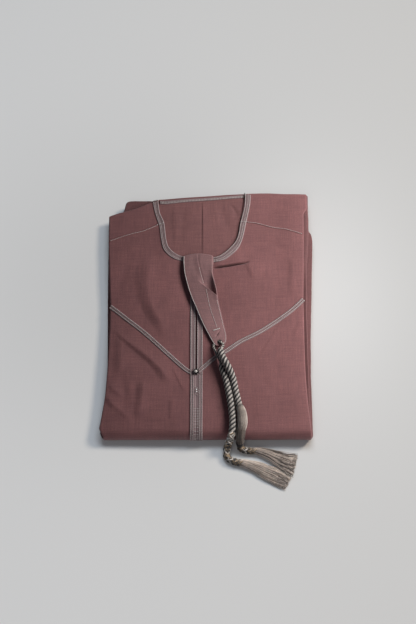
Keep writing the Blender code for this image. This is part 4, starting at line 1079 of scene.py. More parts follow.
def place_stitches(parts, centre, run, side, up, length, width, slot=0):
    shape = [(-0.5, 0.0, 0.0)]
    for x, r in STITCH_RINGS:
        shape.extend((x, r * math.cos(a) * 0.5, r * math.sin(a) * 0.5) for a in circle(STITCH_SIDES))
    shape = np.array(shape + [(0.5, 0.0, 0.0)])
    along = shape[:, 0] * length
    across = shape[:, 1] * width
    rise = (shape[:, 2] - 0.22 * np.abs(shape[:, 0] * 2.0) ** 2.0) * width
    verts = centre[:, None]
    for direction, share in ((run, along), (side, across), (np.broadcast_to(up, run.shape), rise)):
        verts = verts + direction[:, None] * share[None, :, None]
    each = len(shape)
    j = np.arange(STITCH_SIDES)
    k = (j + 1) % STITCH_SIDES
    first = np.stack([np.zeros_like(j), 1 + k, 1 + j], axis=-1)
    last_ring = 1 + (len(STITCH_RINGS) - 1) * STITCH_SIDES
    last = np.stack([np.full_like(j, each - 1), last_ring + j, last_ring + k], axis=-1)
    quads = grid_faces(len(STITCH_RINGS), STITCH_SIDES, True) + 1
    shift = (np.arange(len(centre)) * each)[:, None, None]
    tris = (np.concatenate([first, last])[None] + shift).reshape(-1, 3)
    cloth = np.broadcast_to(np.stack([along, across], axis=-1) * MM, (len(centre), each, 2))
    parts.add(verts * MM, [tris, (quads[None] + shift).reshape(-1, 4)], slot, cloth)


def row_on(parts, grid, at, length=2.8, gap=0.4, width=1.35, slot=0, lift=0.28):
    """A row of stitches along one line of a band's upper face."""
    cols = grid.shape[1] - 1
    c = at * cols
    i = min(int(c), cols - 1)
    path = blend(grid[:, i], grid[:, i + 1], c - i)
    normals = unit(np.cross(np.gradient(grid, axis=1), np.gradient(grid, axis=0)))
    normals = normals[:, min(int(round(c)), cols)]
    if abs(normals[:, 2].mean()) > 0.3:
        normals = normals * np.sign(normals[:, 2:3] + 1e-9)
    stitches(parts, path + normals * lift, normals, length, gap, width, slot)


def sew_bar(parts, plan, lift, length, gap, width, slot=0):
    """A short line of stitches laid over the front."""
    path = np.column_stack([plan, top(plan[:, 0], plan[:, 1]) + lift])
    stitches(parts, path, UP, length, gap, width, slot)


def over_placket(x, y):
    """The upper side of the bundle with the placket's bands on it."""
    on = smooth_step((x - PLACKET_LEFT + 1.2) / 1.6) * smooth_step((PLACKET_RIGHT + 1.2 - x) / 1.6)
    return top(x, y) + TRIM_RISE * on


# Cords


def make_rope(name, route, radius, lobes, lay, depth, materials, thin_start=0.0, thin_end=0.0):
    """A laid rope: strands that turn round the route, dark and bright in turn."""
    path = resample(route, int(lengths_along(np.array(route))[-1] / ROPE_STEP))
    along = lengths_along(path)
    each = 9
    sides = lobes * each
    across = (np.arange(sides) % each) / each
    size = radius - depth * np.abs(2.0 * across - 1.0) ** 2.4
    scale = np.ones_like(along)
    if thin_start:
        scale = scale * (0.55 + 0.45 * smooth_step(along / thin_start))
    if thin_end:
        scale = scale * (0.60 + 0.40 * smooth_step((along[-1] - along) / thin_end * 1.4 - 0.35))
    angles = circle(sides)[None] + 2.0 * math.pi * along[:, None] / lay
    rings = rings_round(path, angles, size[None] * scale[:, None])
    cloth = cloth_grid(along, across * (2.0 * math.pi * radius / lobes))
    faces, *ends = tube_faces(len(path), sides)
    parts = Parts()
    parts.add(rings, [faces], np.tile(np.arange(sides) // each, len(path) - 1) % 2, cloth)
    parts.add(np.zeros((0, 3)), [end - parts.count for end in ends], 0, np.zeros((0, 2)))
    return parts.build(name, materials, 80.0), [tuple(p) for p in path[::6]] + [tuple(path[-1])]


KNOT_TURNS = 2
KNOT_BIGHTS = 3


def knot(parts, row, slots, girth, thread):
    """A woven bead knot: turns of cord that pass over and under one another."""
    centre = np.array(row[:3]) * MM
    t = unit(np.array(row[3:], float))
    side = unit(np.cross(UP, t))
    up = np.cross(t, side)
    u = np.linspace(0.0, 2.0 * math.pi * KNOT_TURNS, 60 * KNOT_TURNS + 1)[:-1]
    phase = KNOT_BIGHTS * u / KNOT_TURNS
    radius = (4.55 + 0.75 * np.cos(2.0 * phase + 0.9)) * girth
    radius = radius * np.sqrt(np.clip(1.0 - (0.52 * np.sin(phase)) ** 2, 0.2, 1.0))
    path = (centre
            + t * (np.sin(phase) * 4.1 * girth * MM)[:, None]
            + side * (np.cos(u) * radius * MM)[:, None]
            + up * (np.sin(u) * radius * MM)[:, None])
    drawn = np.roll(path, 1, axis=0) - np.roll(path, -1, axis=0)
    across = unit(np.cross(drawn, unit(path - centre)))
    for offset, slot in zip((-0.682, 0.682), slots):
        add_tube(parts, path + across * (offset * thread * MM), thread * MM, 7, slot, closed=True)
    core = []
    for a in np.linspace(-1.0, 1.0, 9):
        size = 4.0 * girth * MM * math.sqrt(max(1.0 - 0.75 * a * a, 0.1))
        core.append((*(centre + t * (a * 4.4 * girth * MM)), size))
    swelling(parts, np.array(core), 12, 1)


def chain_knots(route, length, count):
    """Rows of knots along the last stretch of a route."""
    path = resample(route, 400)
    along = lengths_along(path)
    rows = []
    for k in range(count):
        i = int(np.searchsorted(along, along[-1] - length + length * (k + 0.5) / count))
        run = path[min(i + 6, 400)] - path[max(i - 6, 0)]
        rows.append((*(path[i] / MM), *(run / MM)))
    return rows


def swelling(parts, stations, sides, slot=0):
    """A smooth body through stations of X, Y, Z and radius, in metres."""
    path = stations[:, :3]
    rings = rings_round(path, circle(sides)[None], stations[:, 3:4])
    cloth = cloth_grid(lengths_along(path), circle(sides) * 0.004)
    parts.add(rings, tube_faces(len(path), sides), slot, cloth)


def wound(parts, stations, pitch, thread, slot):
    """Thread wound closely round a path, in metres."""
    fine = resample(stations, 60)
    along = lengths_along(fine)
    at = np.linspace(0.0, along[-1], int(along[-1] / pitch * 14))
    middle = follow(fine, along, at)
    angle = 2.0 * math.pi * at / pitch
    path = rings_round(middle[:, :3], angle[:, None], middle[:, 3:4])[:, 0]
    add_tube(parts, path, thread, 5, slot)


def make_knots(name, knots, necks, materials, chain=()):
    parts = Parts()
    necks = np.array(necks) * MM
    swelling(parts, resample(necks, 40), 14, 1)
    wound(parts, necks, 0.00125, 0.00060, 2)
    for k, row in enumerate(chain):
        knot(parts, row, ((0, 2), (0, 1), (2, 0), (2, 1), (0, 1))[k % 5], 1.24, 0.95)
    for k, row in enumerate(knots):
        knot(parts, row, ((2, 1), (0, 1), (2, 1))[k % 3], 1.12, 0.9)
    return parts.build(name, materials, 80.0)


def hank_strands(materials):
    """The hank of loose silk: strands laid along a swelling, gathered at both ends."""
    rng = random.Random(5)
    fine = resample(np.array(HANK) * MM, 36)
    t = unit(np.gradient(fine[:, :3], axis=0))
    side = unit(np.stack([-t[:, 1], t[:, 0], np.zeros(len(t))], axis=1))
    up = np.cross(t, side)
    parts = Parts()
    angles = circle(18)
    rings = (fine[:, None, :3]
             + side[:, None] * (np.cos(angles)[None] * fine[:, 3:4] * 0.84)[..., None]
             + up[:, None] * (np.sin(angles)[None] * fine[:, 4:5] * 0.80)[..., None])
    cloth = cloth_grid(lengths_along(fine[:, :3]), angles * 0.008)
    parts.add(rings, tube_faces(len(fine), 18), 1, cloth)
    share = np.linspace(0.0, 1.0, len(fine))
    for i in range(STRANDS):
        angle = 2.0 * math.pi * i / STRANDS + rng.uniform(-0.05, 0.05)
        drift = rng.uniform(-0.5, 0.5) - 0.9
        wave = rng.uniform(0.0, 6.0)
        around = angle + drift * (share - 0.2) + 0.14 * np.sin(share * 7.0 + wave)
        lump = []
        for a, s in zip(around, share):
            lump.append(noise.noise((math.cos(a) * 1.5, math.sin(a) * 1.5, s * 4.0)))
        depth = rng.uniform(0.86, 0.98) + 0.03 * np.sin(share * 9.0 + wave * 2.0) + 0.13 * np.array(lump)
        path = (fine[:, :3]
                + side * (np.cos(around) * fine[:, 3] * depth)[:, None]
                + up * (np.sin(around) * fine[:, 4] * depth)[:, None])
        # Pale silk painted on one side of the hank as a sheen; the strands' lower parts take only the taupe
        # and brown silks
        painted_sheen_side = math.cos(angle + 0.5) + 0.6 * math.sin(angle) + rng.uniform(-0.7, 0.7)
        slot = 2 if painted_sheen_side > -0.50 else (1 if painted_sheen_side < -1.3 else 0)
        turn_at = int(len(path) * rng.uniform(0.42, 0.60))
        lower_slot = (1, 0, 0, 0, 1)[rng.randrange(5)]
        add_tube(parts, path[:turn_at + 1], STRAND_RADIUS, 3, slot)
        add_tube(parts, path[turn_at:], STRAND_RADIUS, 3, lower_slot)
    for rows, girth in ((fine[1:4], 0.99), (fine[-5:], 1.0)):
        wound(parts, np.column_stack([rows[:, :3], rows[:, 3] * girth]), 0.0009, 0.0005, 3)
    return parts.build("hank_strands", materials, 80.0)


def tassel_threads(name, stations, seed, materials, rise=0.0, bright=0.0):
    """A tassel: a bound head whose threads fan out over the floor."""
    rng = random.Random(seed)
    parts = Parts()
    sides = np.array(stations, float)
    a = sides[:, 0:2]
    middle = (a + sides[:, 2:4]) / 2.0
    half = sides[:, 4]
    lift = half + FLOOR_CLEARANCE
    lift[:2] = half[0] + HEAD_LIFT
    last = len(sides) - 1
    for i in range(THREADS):
        r = math.sqrt((i + 0.5) / THREADS)
        u = r * math.cos(i * GOLDEN_ANGLE)
        v = r * math.sin(i * GOLDEN_ANGLE)
        wander = rng.gauss(0.0, 0.11)
        clump = noise.noise((u * 3.1, v * 1.2, seed * 1.0))
        clump = clump + 0.5 * noise.noise((u * 8.0, v * 3.0, seed * 2.0))
        stray = rng.random() < 0.10
        lean = rng.uniform(-0.7, 0.7) if stray else 0.0
        rows = []
        for k in range(last + 1):
            grow = max(0.0, (k - 1) / (last - 1))
            uk = u + (wander + 0.28 * clump + lean * grow) * grow
            uk = max(-1.16, min(1.16, uk))
            vk = v * (1.0 - 0.25 * grow) + rng.gauss(0.0, 0.08) * grow
            vk = max(-1.0, min(1.0, vk))
            p = middle[k] + (a[k] - middle[k]) * uk
            rows.append((*p, lift[k] + half[k] * vk + rise * grow * max(0.0, -uk)))
        rows = np.array(rows)
        tail = rng.uniform(0.42, 1.02) + 0.22 * clump
        rows[-1] = rows[-2] + (rows[-1] - rows[-2]) * tail
        path = resample(rows, 17)
        bend = rng.uniform(0.3, 1.3)
        start = rng.uniform(0.0, 6.3)
        share = np.linspace(0.0, 1.0, len(path))
        run = unit(path[-1] - path[0])
        sway = np.array((-run[1], run[0], 0.0))
        path = path + sway * (bend * np.sin(share * 9.0 + start) * share)[:, None]
        path[:, 2] = np.maximum(path[:, 2] + 0.6 * np.sin(share * 12.0 + start) * share, 0.45)
        tone = 1.9 * noise.noise((u * 8.0 + 7.0, v * 2.2, seed * 3.0)) + rng.gauss(0.0, 0.34) + bright
        slot = 1 if tone < -0.12 else (2 if tone > 0.20 else 0)
        add_tube(parts, path * MM, rng.uniform(0.00034, 0.00050), 3, slot)
    head = [(*blend(middle[0], middle[1], s), lift[0], 5.0 + 0.7 * s) for s in (0.0, 0.5, 1.0)]
    swelling(parts, np.array(head) * MM, 16, 1)
    tie = [(*blend(middle[0], middle[1], s), lift[0], half[0] + 0.45) for s in (-0.12, 0.1, 0.34)]
    wound(parts, np.array(tie) * MM, 0.0011, 0.00055, 3)
    return parts.build(name, materials, 80.0)


# The tab


def tab_dents(x, y, t):
    """The pleat, the lip below it and the small marks near the eyelet."""
    away = (x - 3.0) * 0.66 + (y - 37.5) * 0.75
    line = np.interp(-y, (-100.0, -81.0, -52.8, -35.7), (-21.0, -17.5, -10.1, -4.6))
    inside = smooth_step((x + 22.0) / 25.0)
    rim = 1.0 - 0.94 * smooth_step((t - 0.91) / 0.07)
    height = np.maximum(away, 0.0)
    raised = 2.8 * smooth_step((t - 0.82) / 0.16) * np.exp(-((y - 50.0) / 22.0) ** 2)
    pocket = -(5.6 * np.exp(-(height / 13.0) ** 1.7) + 1.6 * np.exp(-(height / 26.0) ** 2)) * inside * rim
    pocket = pocket - 0.6 * np.exp(-((x - line - 1.2) / 1.1) ** 2) * smooth_step(away / 8.0)
    lip = 1.7 * np.exp(np.minimum(away, 0.0) / 8.0) * smooth_step((x + 14.0) / 16.0)
    dent = np.where(away > 0.0, pocket, lip)
    joining = blend(lip, pocket, smooth_step((away + 0.8) / 1.6))
    dent = np.where(np.abs(away) < 0.8, joining, dent)
    tuck = -2.4 * np.exp(-((x - 15.0 + (y + 47.8) * -0.62) / 1.25) ** 2 - ((y + 47.8) / 4.0) ** 2)
    hole = np.hypot(x - EYELET_AT[0], y - EYELET_AT[1])
    pressed = -0.6 * np.exp(-((hole - 4.0) / 3.0) ** 2)
    hollow = -0.8 * np.exp(-((x - line + 8.0) / 6.0) ** 2 - ((y - 84.0) / 22.0) ** 2)
    return dent + tuck + pressed + hollow + raised


def tab_surface(rows, cols):
    """Grids of the tab's upper and lower faces, folded over the neck edge at their start."""
    table = resample(TAB_ROWS, rows)
    t = np.linspace(0.0, 1.0, cols + 1)
    plan = blend(table[:, None, 0:2], table[:, None, 2:4], t[None, :, None])
    down = np.linspace(0.0, 1.0, rows + 1)[:, None]
    arch = 4.8 * np.sin(math.pi * t) ** 0.75 * np.exp(-down * 14.0)
    x, y = plan[..., 0], plan[..., 1] + arch
    under = np.broadcast_to(table[:, 4:5], x.shape)
    edge = rounded(t, 18)
    crown = 0.8 * np.sin(math.pi * t)
    soft = 0.32 * uneven(x, y, 4.4, 15.0, 30.0) + 0.12 * uneven(x, y, 7.4, 6.0, 10.0)
    rolled = (0.5 - t)[None] * (6.2 * smooth_step((44.0 - y) / 60.0) - 3.4)
    lift = (crown + soft + rolled + tab_dents(x, y, t[None])) * edge[None]
    upper = np.stack([x, y, under + TAB_WALL * edge[None] + lift], axis=-1)
    floor = dome(x, y) + GAP + np.where(y > 92.0, BAND_RISE, 0.0) * 0.6
    lower_z = np.maximum(np.minimum(upper[..., 2] - TAB_WALL * edge[None] - 0.02, under + 0.5), floor)
    lower = np.stack([x, y, np.minimum(lower_z, upper[..., 2] - 0.04)], axis=-1)
    turned_up = []
    turned_low = []
    for angle in np.radians((150.0, 132.0, 114.0, 96.0, 78.0, 60.0, 42.0, 22.0)):
        shift = np.array((0.0, math.sin(angle), math.cos(angle) - 1.0))
        turned_up.append(upper[0] + shift * 3.1)
        turned_low.append(lower[0] + shift * 0.8)
    return np.concatenate([turned_up, upper]), np.concatenate([turned_low, lower])


def make_tab(cloth, thread):
    upper, lower = tab_surface(*TAB_GRID)
    tab = closed_piece("tab_cloth_piece", upper, lower, [cloth])
    eyelet = np.array(EYELET_AT)
    bpy.ops.mesh.primitive_cylinder_add(
        vertices=32, radius=2.7 * MM, depth=14.0 * MM, location=(*(eyelet * MM), 41.0 * MM))
    cutter = bpy.context.object
    hole = tab.modifiers.new("Eyelet", "BOOLEAN")
    hole.operation = "DIFFERENCE"
    hole.object = cutter
    graph = bpy.context.evaluated_depsgraph_get()
    cut_mesh = bpy.data.meshes.new_from_object(tab.evaluated_get(graph))
    tab.modifiers.clear()
    tab.data = cut_mesh
    bpy.data.objects.remove(cutter, do_unlink=True)

    sewing = Parts()
    grid = upper[7:-3]
    edge = resample(grid[:, 1] * 0.6 + grid[:, 2] * 0.4, 260)
    add_tube(sewing, (edge + np.array((-0.25, 0.0, 0.25))) * MM, 0.62 * MM, 8, 0)
    row_on(sewing, grid[100:], 0.945, 2.4, 0.45, 1.0, 0, 0.2)
    row_on(sewing, grid[6:74], 0.955, 2.4, 0.45, 0.8, 1, 0.1)
    for line, width in (
        ([(-18.4, 85.0), (-14.6, 68.0), (-10.1, 52.8)], 0.85),
        ([(-5.6, 40.0), (1.7, 4.7), (8.6, -17.0), (14.4, -34.8)], 1.0),
    ):
        stitches(sewing, drape(upper, resample(line, 40)) + UP * 0.2, UP, 2.2, 0.4, width)
    bar = drape(upper, resample([(7.8, -40.3), (19.3, -36.1)], 12))
    bar[:, 2] += 0.5
    run = unit(bar[-1] - bar[0])
    across = np.broadcast_to((-run[1], run[0], 0.0), bar.shape)
    place_stitches(sewing, bar, across, np.cross(UP, across), UP, 2.3, 1.25)
    around = np.linspace(0.0, 2.0 * math.pi, 29)
    ring = drape(upper, eyelet + 3.4 * np.stack([np.cos(around), np.sin(around)], axis=1))[:-1]
    out = np.column_stack([unit(ring[:, :2] - eyelet), np.zeros(len(ring))])
    place_stitches(sewing, ring + UP * 0.25, out, np.cross(UP, out), UP, 2.4, 0.95, 2)
    return tab, sewing.build("tab_stitches", thread, 80.0)


def drape(grid, plan):
    """Heights of a grid's surface at plan points, by its nearest points."""
    flat = grid.reshape(-1, 3)
    made = []
    for p in np.asarray(plan, float):
        d = np.sum((flat[:, :2] - p) ** 2, axis=1)
        near = np.argsort(d)[:4]
        w = 1.0 / (d[near] + 0.05)
        made.append((p[0], p[1], float((flat[near, 2] * w).sum() / w.sum())))
    return np.array(made)


# Placket, button and beads


def lower_placket(materials):
    """The closed placket below the button, down the front and round the waist fold."""
    t = np.linspace(0.0, 1.0, 31)
    xs = PLACKET_LEFT + (PLACKET_RIGHT - PLACKET_LEFT) * t
    pipes = sum(np.exp(-((t - c) / 0.045) ** 2) for c in PIPES)
    groove = 0.75 * np.exp(-((t - 0.5) / 0.045) ** 2)
    rise = TRIM_RISE * rounded(t, 14) * (0.55 + 0.45 * np.clip(pipes, 0.0, 1.0) - groove)
    upper = []
    lower = []
    for y in np.linspace(PLACKET_SPLIT - GAP, FOLD_AXIS, 50)[:-1]:
        ys = np.full_like(xs, y)
        ground = top(xs, ys)
        upper.append(np.stack([xs, ys, ground + BAND_CLEAR + rise], axis=1))
        lower.append(np.stack([xs, ys, ground + BAND_SOLE], axis=1))
    for turn in np.radians(np.linspace(0.0, 142.0, 44)):
        low = 0.42 * math.sin(turn) ** 0.5 if turn > 0.0 else 0.0
        normal = fold_normal(turn)
        base = fold_points(xs, turn) + UP * above_dome(xs, turn)[:, None]
        upper.append(base + normal * (BAND_CLEAR + low + rise)[:, None])
        lower.append(base + normal * BAND_SOLE)
    upper = np.array(upper)
    return closed_piece("placket_lower_band", upper, np.array(lower), materials), upper


def lathe(parts, centre, profile, sides, slot):
    """A turned form from radius and height, in millimetres, with its axis up."""
    rings = [[(r * math.cos(a), r * math.sin(a), h) for a in circle(sides)] for r, h in profile]
    faces = [face[:, ::-1] for face in tube_faces(len(profile), sides)]
    parts.add((np.array(rings) + np.array(centre)) * MM, faces, slot)


def on_placket(x, y):
    return float(dome(np.array(x), np.array(y))) + GAP + TRIM_RISE


def make_button(ring_metal, pearl):
    centre = (*BUTTON_AT, on_placket(*BUTTON_AT) + GAP)
    rim = [
        (2.5, 2.3), (2.9, 3.0), (3.6, 3.45), (4.4, 3.35), (5.0, 2.7), (5.2, 2.0), (5.0, 1.2), (4.6, 0.5),
        (3.4, 0.0),
    ]
    cap = [(0.15, 3.75), (0.9, 3.68), (1.7, 3.42), (2.4, 2.95), (2.9, 2.35), (2.6, 1.2), (0.5, 0.9)]
    parts = Parts()
    lathe(parts, centre, rim, 40, 0)
    lathe(parts, centre, cap, 32, 1)
    return parts.build("button_turned", [ring_metal, pearl], 40.0)


def make_beads(material):
    parts = Parts()
    angles = np.radians(np.linspace(88.0, -88.0, 9))
    for x, y, r in ((-22.6, -152.2, 1.4), (-22.3, -156.2, 1.3)):
        profile = [(r * math.cos(a), r * math.sin(a)) for a in angles]
        lathe(parts, (x, y, on_placket(x, y) + r * 0.55), profile, 14, 0)
    return parts.build("beads", [material], 60.0)


# Build


make_camera()

# Painted shade along the sharp crease of the right front: start and end, and width, in metres
CREASE_SHADE_LINE = ((0.004, 0.0858), (0.070, 0.0978), 0.0011)
cloth = twill_material("mauve_twill_woven", (0.215, 0.093, 0.093), pressed=CREASE_SHADE_LINE)
inside = twill_material("mauve_twill_reverse", (0.200, 0.090, 0.088), 0.2)
# The folded layers take the same twill painted darker, as painted shade on the bundle's stacked sides
layer_twill_painted_shade = twill_material("mauve_twill_layers_painted_shade", (0.156, 0.068, 0.068), 0.25)
tab_cloth = twill_material("tab_twill", (0.240, 0.130, 0.130), 0.3, 0.0009)
banding = band_material("sewn_band", (0.250, 0.172, 0.176))
light_thread = thread_material("thread_light", (0.60, 0.54, 0.52), 0.45)
mid_thread = thread_material("thread_mauve", (0.36, 0.25, 0.24), 0.55)
dark_thread = thread_material("thread_dark", (0.060, 0.048, 0.042), 0.55)
silver = thread_material("cord_silver", (0.62, 0.57, 0.52), 0.34, 0.0008, 0.15)
dark_strand = thread_material("cord_dark", (0.032, 0.028, 0.026), 0.5, 0.0008)
bronze = thread_material("cord_bronze", (0.30, 0.215, 0.135), 0.36, 0.0008, 0.2)
silk_a = thread_material("silk_taupe", (0.360, 0.290, 0.248), 0.34, 0.0006)
silk_b = thread_material("silk_brown", (0.078, 0.058, 0.050), 0.40, 0.0006)
silk_c = thread_material("silk_pale", (0.730, 0.640, 0.570), 0.26, 0.0006)
binding = thread_material("binding_brown", (0.190, 0.145, 0.110), 0.38, 0.0006, 0.1)
ring_metal = polished_material("button_ring", (0.030, 0.026, 0.026), 0.32, 0.4)
pearl = polished_material("button_pearl_cap", (0.62, 0.58, 0.54), 0.2, 0.0, 0.6)
crystal = polished_material("bead_glass", (0.90, 0.88, 0.86), 0.08, 0.0, 1.0)

threads = [light_thread, mid_thread, dark_thread]
rope_set = [silver, dark_strand]
knot_set = [silver, dark_strand, bronze]
silks = [silk_a, silk_b, silk_c]
laid = (ROPE_RADIUS, 6, 0.0232, 0.0014, rope_set)
left_rope, left_path = make_rope("rope_left", ROUTE_LEFT, *laid, 0.010, 0.050)
right_rope, right_path = make_rope("rope_right", ROUTE_RIGHT, *laid, 0.004, 0.006)
loop_cord = make_rope("loop_cord", LOOP_SHOWN, LOOP_RADIUS, 4, 0.0090, 0.0005, rope_set)[0]
chain = chain_knots(ROUTE_LEFT, 0.0475, 5)
knots_left = make_knots("knots_left_woven", KNOTS_LEFT, NECKS_LEFT, knot_set, chain)
knots_right = make_knots("knots_right_woven", KNOTS_RIGHT, NECKS_RIGHT, knot_set)
hank = hank_strands([*silks, dark_strand])
tassel_left = tassel_threads("tassel_left_threads", TASSEL_LEFT, 3, [*silks, binding], 0.0, 0.26)
tassel_right = tassel_threads("tassel_right_threads", TASSEL_RIGHT, 8, [*silks, binding], 2.4, 0.04)

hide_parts("cord_left")
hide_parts("cord_right")
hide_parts("tassel_loop")
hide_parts("knots_left")
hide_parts("knots_right")
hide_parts("silk_hank")
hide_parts("tassel_left")
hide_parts("tassel_right")
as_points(left_path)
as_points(right_path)

front_left = front_upper("front_left_cloth", -1, SHOULDER_LEFT, NECK_INNER_LEFT[3:], [cloth])
front_right = front_upper("front_right_cloth", 1, SHOULDER_RIGHT, NECK_INNER_RIGHT[3:], [cloth])
shoulder_l = shoulder_panel("shoulder_left_cloth", SHOULDER_LEFT, CREST_LEFT, -1, 18, [cloth])
shoulder_r = shoulder_panel("shoulder_right_cloth", SHOULDER_RIGHT, CREST_RIGHT, 1, 26, [cloth])
lower_front = front_lower([cloth])
back = inside_back([inside])
layers = [folded_layer(*row, [layer_twill_painted_shade]) for row in LAYERS]

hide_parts("front_upper_left")
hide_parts("front_upper_right")
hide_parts("shoulder_left")
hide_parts("shoulder_right")
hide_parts("front_lower")
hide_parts("back_inside")
for layer in layers:
    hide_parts("folded_body")


trims = {}
sewing = Parts()
for name, seam, side, limit, rise in (
    ("trim_left", V_LEFT, -1.0, PLACKET_LEFT + 0.6, TRIM_RISE * 0.7),
    ("trim_right", V_RIGHT, 1.0, SLIT_RIGHT + 2.6, TRIM_RISE),
):
    line = resample(seam, 400)
    middle = resample(line[(line[:, 0] - limit) * side > 0.0], 150, False)
    edges = side_lines(middle, TRIM_WIDTH)
    trims[name], grid = make_band(name + "_band", *edges, over_placket, rise, 0.55, [banding])
    for at, size, slot in ((0.22, 1.3, 0), (0.5, 0.9, 1), (0.78, 1.3, 0)):
        row_on(sewing, grid, at, 2.8, 0.4, size, slot)
for name, seam, start, end in (
    ("seam_shoulder_left", SHOULDER_LEFT, -184.5, -96.0),
    ("seam_shoulder_right", SHOULDER_RIGHT, 72.0, 173.5),
):
    line = resample(seam, 300)
    middle = resample(line[(line[:, 0] > start) & (line[:, 0] < end)], 70, False)
    trims[name], grid = make_band(name + "_ridge", *side_lines(middle, 3.0), top, 0.75, 0.9, [cloth], 10)
    row_on(sewing, grid, 0.62, 2.6, 0.4, 0.95)
LEFT_ROWS = ((0.13, 1.0, 0), (0.37, 0.85, 1), (0.62, 0.85, 0), (0.86, 1.0, 0))
RIGHT_ROWS = ((0.12, 1.3, 0), (0.34, 0.9, 2), (0.58, 0.9, 0), (0.86, 1.3, 0))
for name, inner, outer, less, rows in (
    ("neckband_left", NECK_INNER_LEFT, NECK_OUTER_LEFT, 1.0, LEFT_ROWS),
    ("neckband_right", NECK_INNER_RIGHT, NECK_OUTER_RIGHT, 0.6, RIGHT_ROWS),
):
    a = resample(inner, 120)
    b = resample(outer, 120)
    a = a + unit(a - b) * 0.9
    trims[name], grid = make_band(name + "_band", a, b, top, BAND_RISE - less, 0.7, [banding])
    for at, size, slot in rows:
        row_on(sewing, grid, at, 2.2, 0.6, size, slot)
a = resample(BACK_BAND_FRONT, 100)
b = resample(BACK_BAND_REAR, 100) - np.array((0.0, CURL_RADIUS))
trims["neckband_back"], grid = make_band(
    "neckband_back_band", a, b, back_top, BAND_RISE - 0.3, 0.9, [banding])
for at, size in ((0.16, 1.3), (0.38, 1.0), (0.60, 0.8)):
    row_on(sewing, grid, at, 2.0, 0.8, size)
for name, left, right, start in (
    ("placket_left", PLACKET_LEFT, SLIT_LEFT - 0.1, 94.6),
    ("placket_right", SLIT_RIGHT + 0.1, PLACKET_RIGHT, 94.2),
):
    ys = np.linspace(start, PLACKET_SPLIT, 110)
    a, b = [np.stack([np.full_like(ys, x), ys], axis=1) for x in (left, right)]
    trims[name], grid = make_band(name + "_band", a, b, top, TRIM_RISE, 0.62, [banding])
    row_on(sewing, grid, 0.13)
    row_on(sewing, grid, 0.87)
    row_on(sewing, grid, 0.5, 2.4, 0.5, 0.7, 1, 0.03)

plan = np.stack(np.meshgrid(np.linspace(-31.0, -16.0, 9), np.linspace(-121.0, 96.0, 60)), axis=-1)
lap = cloth_sheet("slit_lap", lifted(plan, lambda x, y: dome(x, y) - 1.55), [cloth], 0.7)

trims["placket_lower"], grid = lower_placket([banding])
for at in PIPES:
    row_on(sewing, grid[:-2], at, 2.6, 0.5, 1.0)
ladder = np.linspace(-27.4, -18.0, 12)
for y in np.arange(-188.0, FOLD_AXIS + 1.0, -3.0):
    sew_bar(sewing, np.column_stack([ladder, np.full(12, y)]), TRIM_RISE * 0.8 + 0.1, 4.2, 0.5, 1.0)
for turn in np.radians((2.0, 22.0, 44.0, 60.0, 74.0, 88.0, 102.0)):
    normal = fold_normal(turn)
    stitches(sewing, fold_points(ladder, turn) + normal * (0.52 + TRIM_RISE * 0.8), normal, 4.2, 0.5, 1.0)
for x0, y0, x1, y1 in (
    (-26.5, -146.0, -20.0, -149.4),
    (-27.0, -151.0, -24.6, -159.0),
    (-20.2, -150.0, -19.2, -158.4),
    (-25.0, -160.2, -19.6, -162.8),
):
    bar = resample([(x0, y0), ((x0 + x1) / 2 + 0.5, (y0 + y1) / 2), (x1, y1)], 10)
    sew_bar(sewing, bar, TRIM_RISE * 0.9 + 0.15, 2.0, 0.3, 0.9)
# The shoulder seams' ends over the neck bands, and the bands' turned ends
for x0, y0, x1, y1, size, slot in (
    (-98.0, 175.6, -84.0, 179.4, 1.1, 0),
    (58.4, 181.4, 72.0, 180.6, 1.1, 0),
    (-86.4, 178.4, -84.4, 180.6, 2.2, 0),
    (-106.0, 225.4, -96.4, 227.8, 1.9, 2),
    (67.0, 241.6, 67.4, 231.0, 2.0, 2),
):
    bar = resample([(x0, y0), (x1, y1)], 16, False)
    sew_bar(sewing, bar, BAND_RISE + 0.1, 2.2, 0.25, size, slot)
topstitching = sewing.build("topstitching", threads, 80.0)

tab, tab_sewn = make_tab(tab_cloth, threads)
button = make_button(ring_metal, pearl)
beads = make_beads(crystal)

for node, piece in trims.items():
    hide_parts(node)
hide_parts("neck_tab")
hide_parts("button")
for slot, pieces in (
    ("mauve_twill", (front_left, front_right, shoulder_l, shoulder_r, lower_front)),
    ("mauve_twill_inside", (back, *layers)),
    ("stitched_trim", (topstitching, tab_sewn)),
    ("tab_cloth", (tab,)),
    ("button_pearl", (button, beads)),
    ("silver_cord", (left_rope, right_rope, loop_cord, knots_left, knots_right)),
    ("silk_strands", (hank, tassel_left, tassel_right)),
):
    for piece in pieces:
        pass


# Floor and light


def soft_patch(tree, where, centre, radii):
    """A round patch, 1 at its centre and falling away to 0."""
    apart = vectors(tree, "SUBTRACT", (where, (*centre, 0.0)))
    scaled = vectors(tree, "DIVIDE", (apart, (*radii, 1.0)))
    length = vectors(tree, "LENGTH", (scaled,), "Value")
    return falling_away(tree, calculate(tree, "POWER", length, 2.0))


def floor_painted_light(tree, where):
    """A pale floor with light and shade painted in: paler in a painted pool of light on the right, duller
    in painted shade on the left and towards the rear.
    """
    slope = vectors(tree, "DOT_PRODUCT", (where, (-0.117, -0.125, 0.0)), "Value")
    tone = calculate(tree, "ADD", slope, 0.644)
    # A painted pool of light on the right and painted shade on the left
    for centre, radii, amount in (
        ((0.18, 0.04), (0.18, 0.234), 0.152),
        ((-0.18, 0.05), (0.32, 0.32), -0.09),
    ):
        patch = calculate(tree, "MULTIPLY", soft_patch(tree, where, centre, radii), amount)
        tone = calculate(tree, "ADD", tone, patch)
    tone = calculate(tree, "MAXIMUM", calculate(tree, "MINIMUM", tone, 0.79), 0.50)
    faint = calculate(tree, "MULTIPLY", cloud(tree, where, 1.4, 2.0), 0.02)
    return calculate(tree, "MULTIPLY", tone, calculate(tree, "ADD", faint, 0.99))


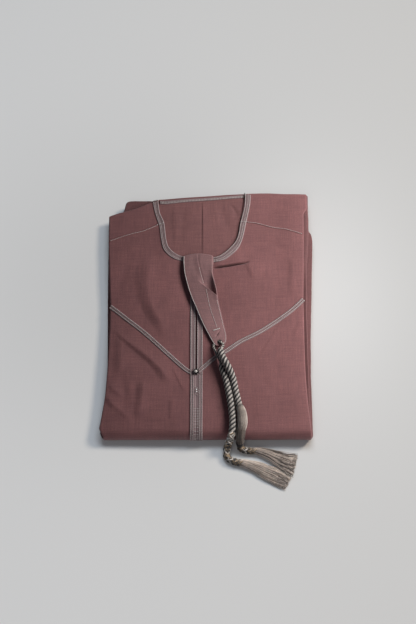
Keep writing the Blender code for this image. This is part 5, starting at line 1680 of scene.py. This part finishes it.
def make_floor():
    mesh = bpy.data.meshes.new("floor")
    size = 6.0
    corners = [(-size, -size, 0.0), (size, -size, 0.0), (size, size, 0.0), (-size, size, 0.0)]
    mesh.from_pydata(corners, [], [(0, 1, 2, 3)])
    floor = link_object("floor", mesh)
    mat, tree, shader = new_material("floor_paint")
    # The floor's colour holds painted light and shade
    tone = floor_painted_light(tree, object_map(tree))
    set_inputs(tree, shader, {"Base Color": tone, "Roughness": 0.9, "Specular IOR Level": 0.1})
    mesh.materials.append(mat)
    return floor


def area_light(name, location, target, size, power, colour, reached):
    """A light that reaches some objects alone."""
    data = bpy.data.lights.new(name, "AREA")
    data.shape = "RECTANGLE"
    data.size, data.size_y = size
    data.energy = power
    data.color = colour
    light = link_object(name, data)
    light.location = location
    light.rotation_euler = (Vector(target) - Vector(location)).to_track_quat("-Z", "Y").to_euler()
    light.visible_camera = False
    group = bpy.data.collections.new("lit_by_" + name)
    for obj in reached:
        group.objects.link(obj)
    light.light_linking.receiver_collection = group


shown = [obj for obj in bpy.context.scene.objects if obj.type == "MESH"]
floor = make_floor()
lying = [floor, tassel_left, tassel_right, knots_left, knots_right]
waist = [lower_front, trims["placket_lower"]]
area_light("key", (2.25, 1.3, 2.6), (0.0, 0.0, 0.0), (0.85, 0.85), 73.8, (1.0, 0.875, 0.72), lying)
area_light("overhead", (0.3, 1.35, 3.1), (0.0, 0.3, 0.0), (2.2, 1.1), 62.4, (0.82, 0.908, 1.0), lying)
area_light("strip", (0.56, 0.13, 0.455), (-0.3, -0.08, 0.0), (1.1, 0.34), 10.0, (1.0, 0.97, 0.945), shown)
area_light("fill", (-0.4, -1.6, 2.4), (0.0, 0.0, 0.0), (1.6, 1.6), 9.5, (1.0, 0.985, 0.97), [floor])
area_light("front", (-0.9, -1.60, 0.30), (0.0, -0.24, 0.0), (0.8, 0.3), 2.3, (1.0, 0.96, 0.95), waist)
world = bpy.data.worlds.new("world")
world.use_nodes = True
background = world.node_tree.nodes["Background"]
background.inputs["Color"].default_value = (0.80, 0.86, 1.0, 1.0)
background.inputs["Strength"].default_value = 0.11
bpy.context.scene.world = world
bpy.context.scene.view_settings.view_transform = "Standard"
bpy.context.scene.view_settings.look = "None"
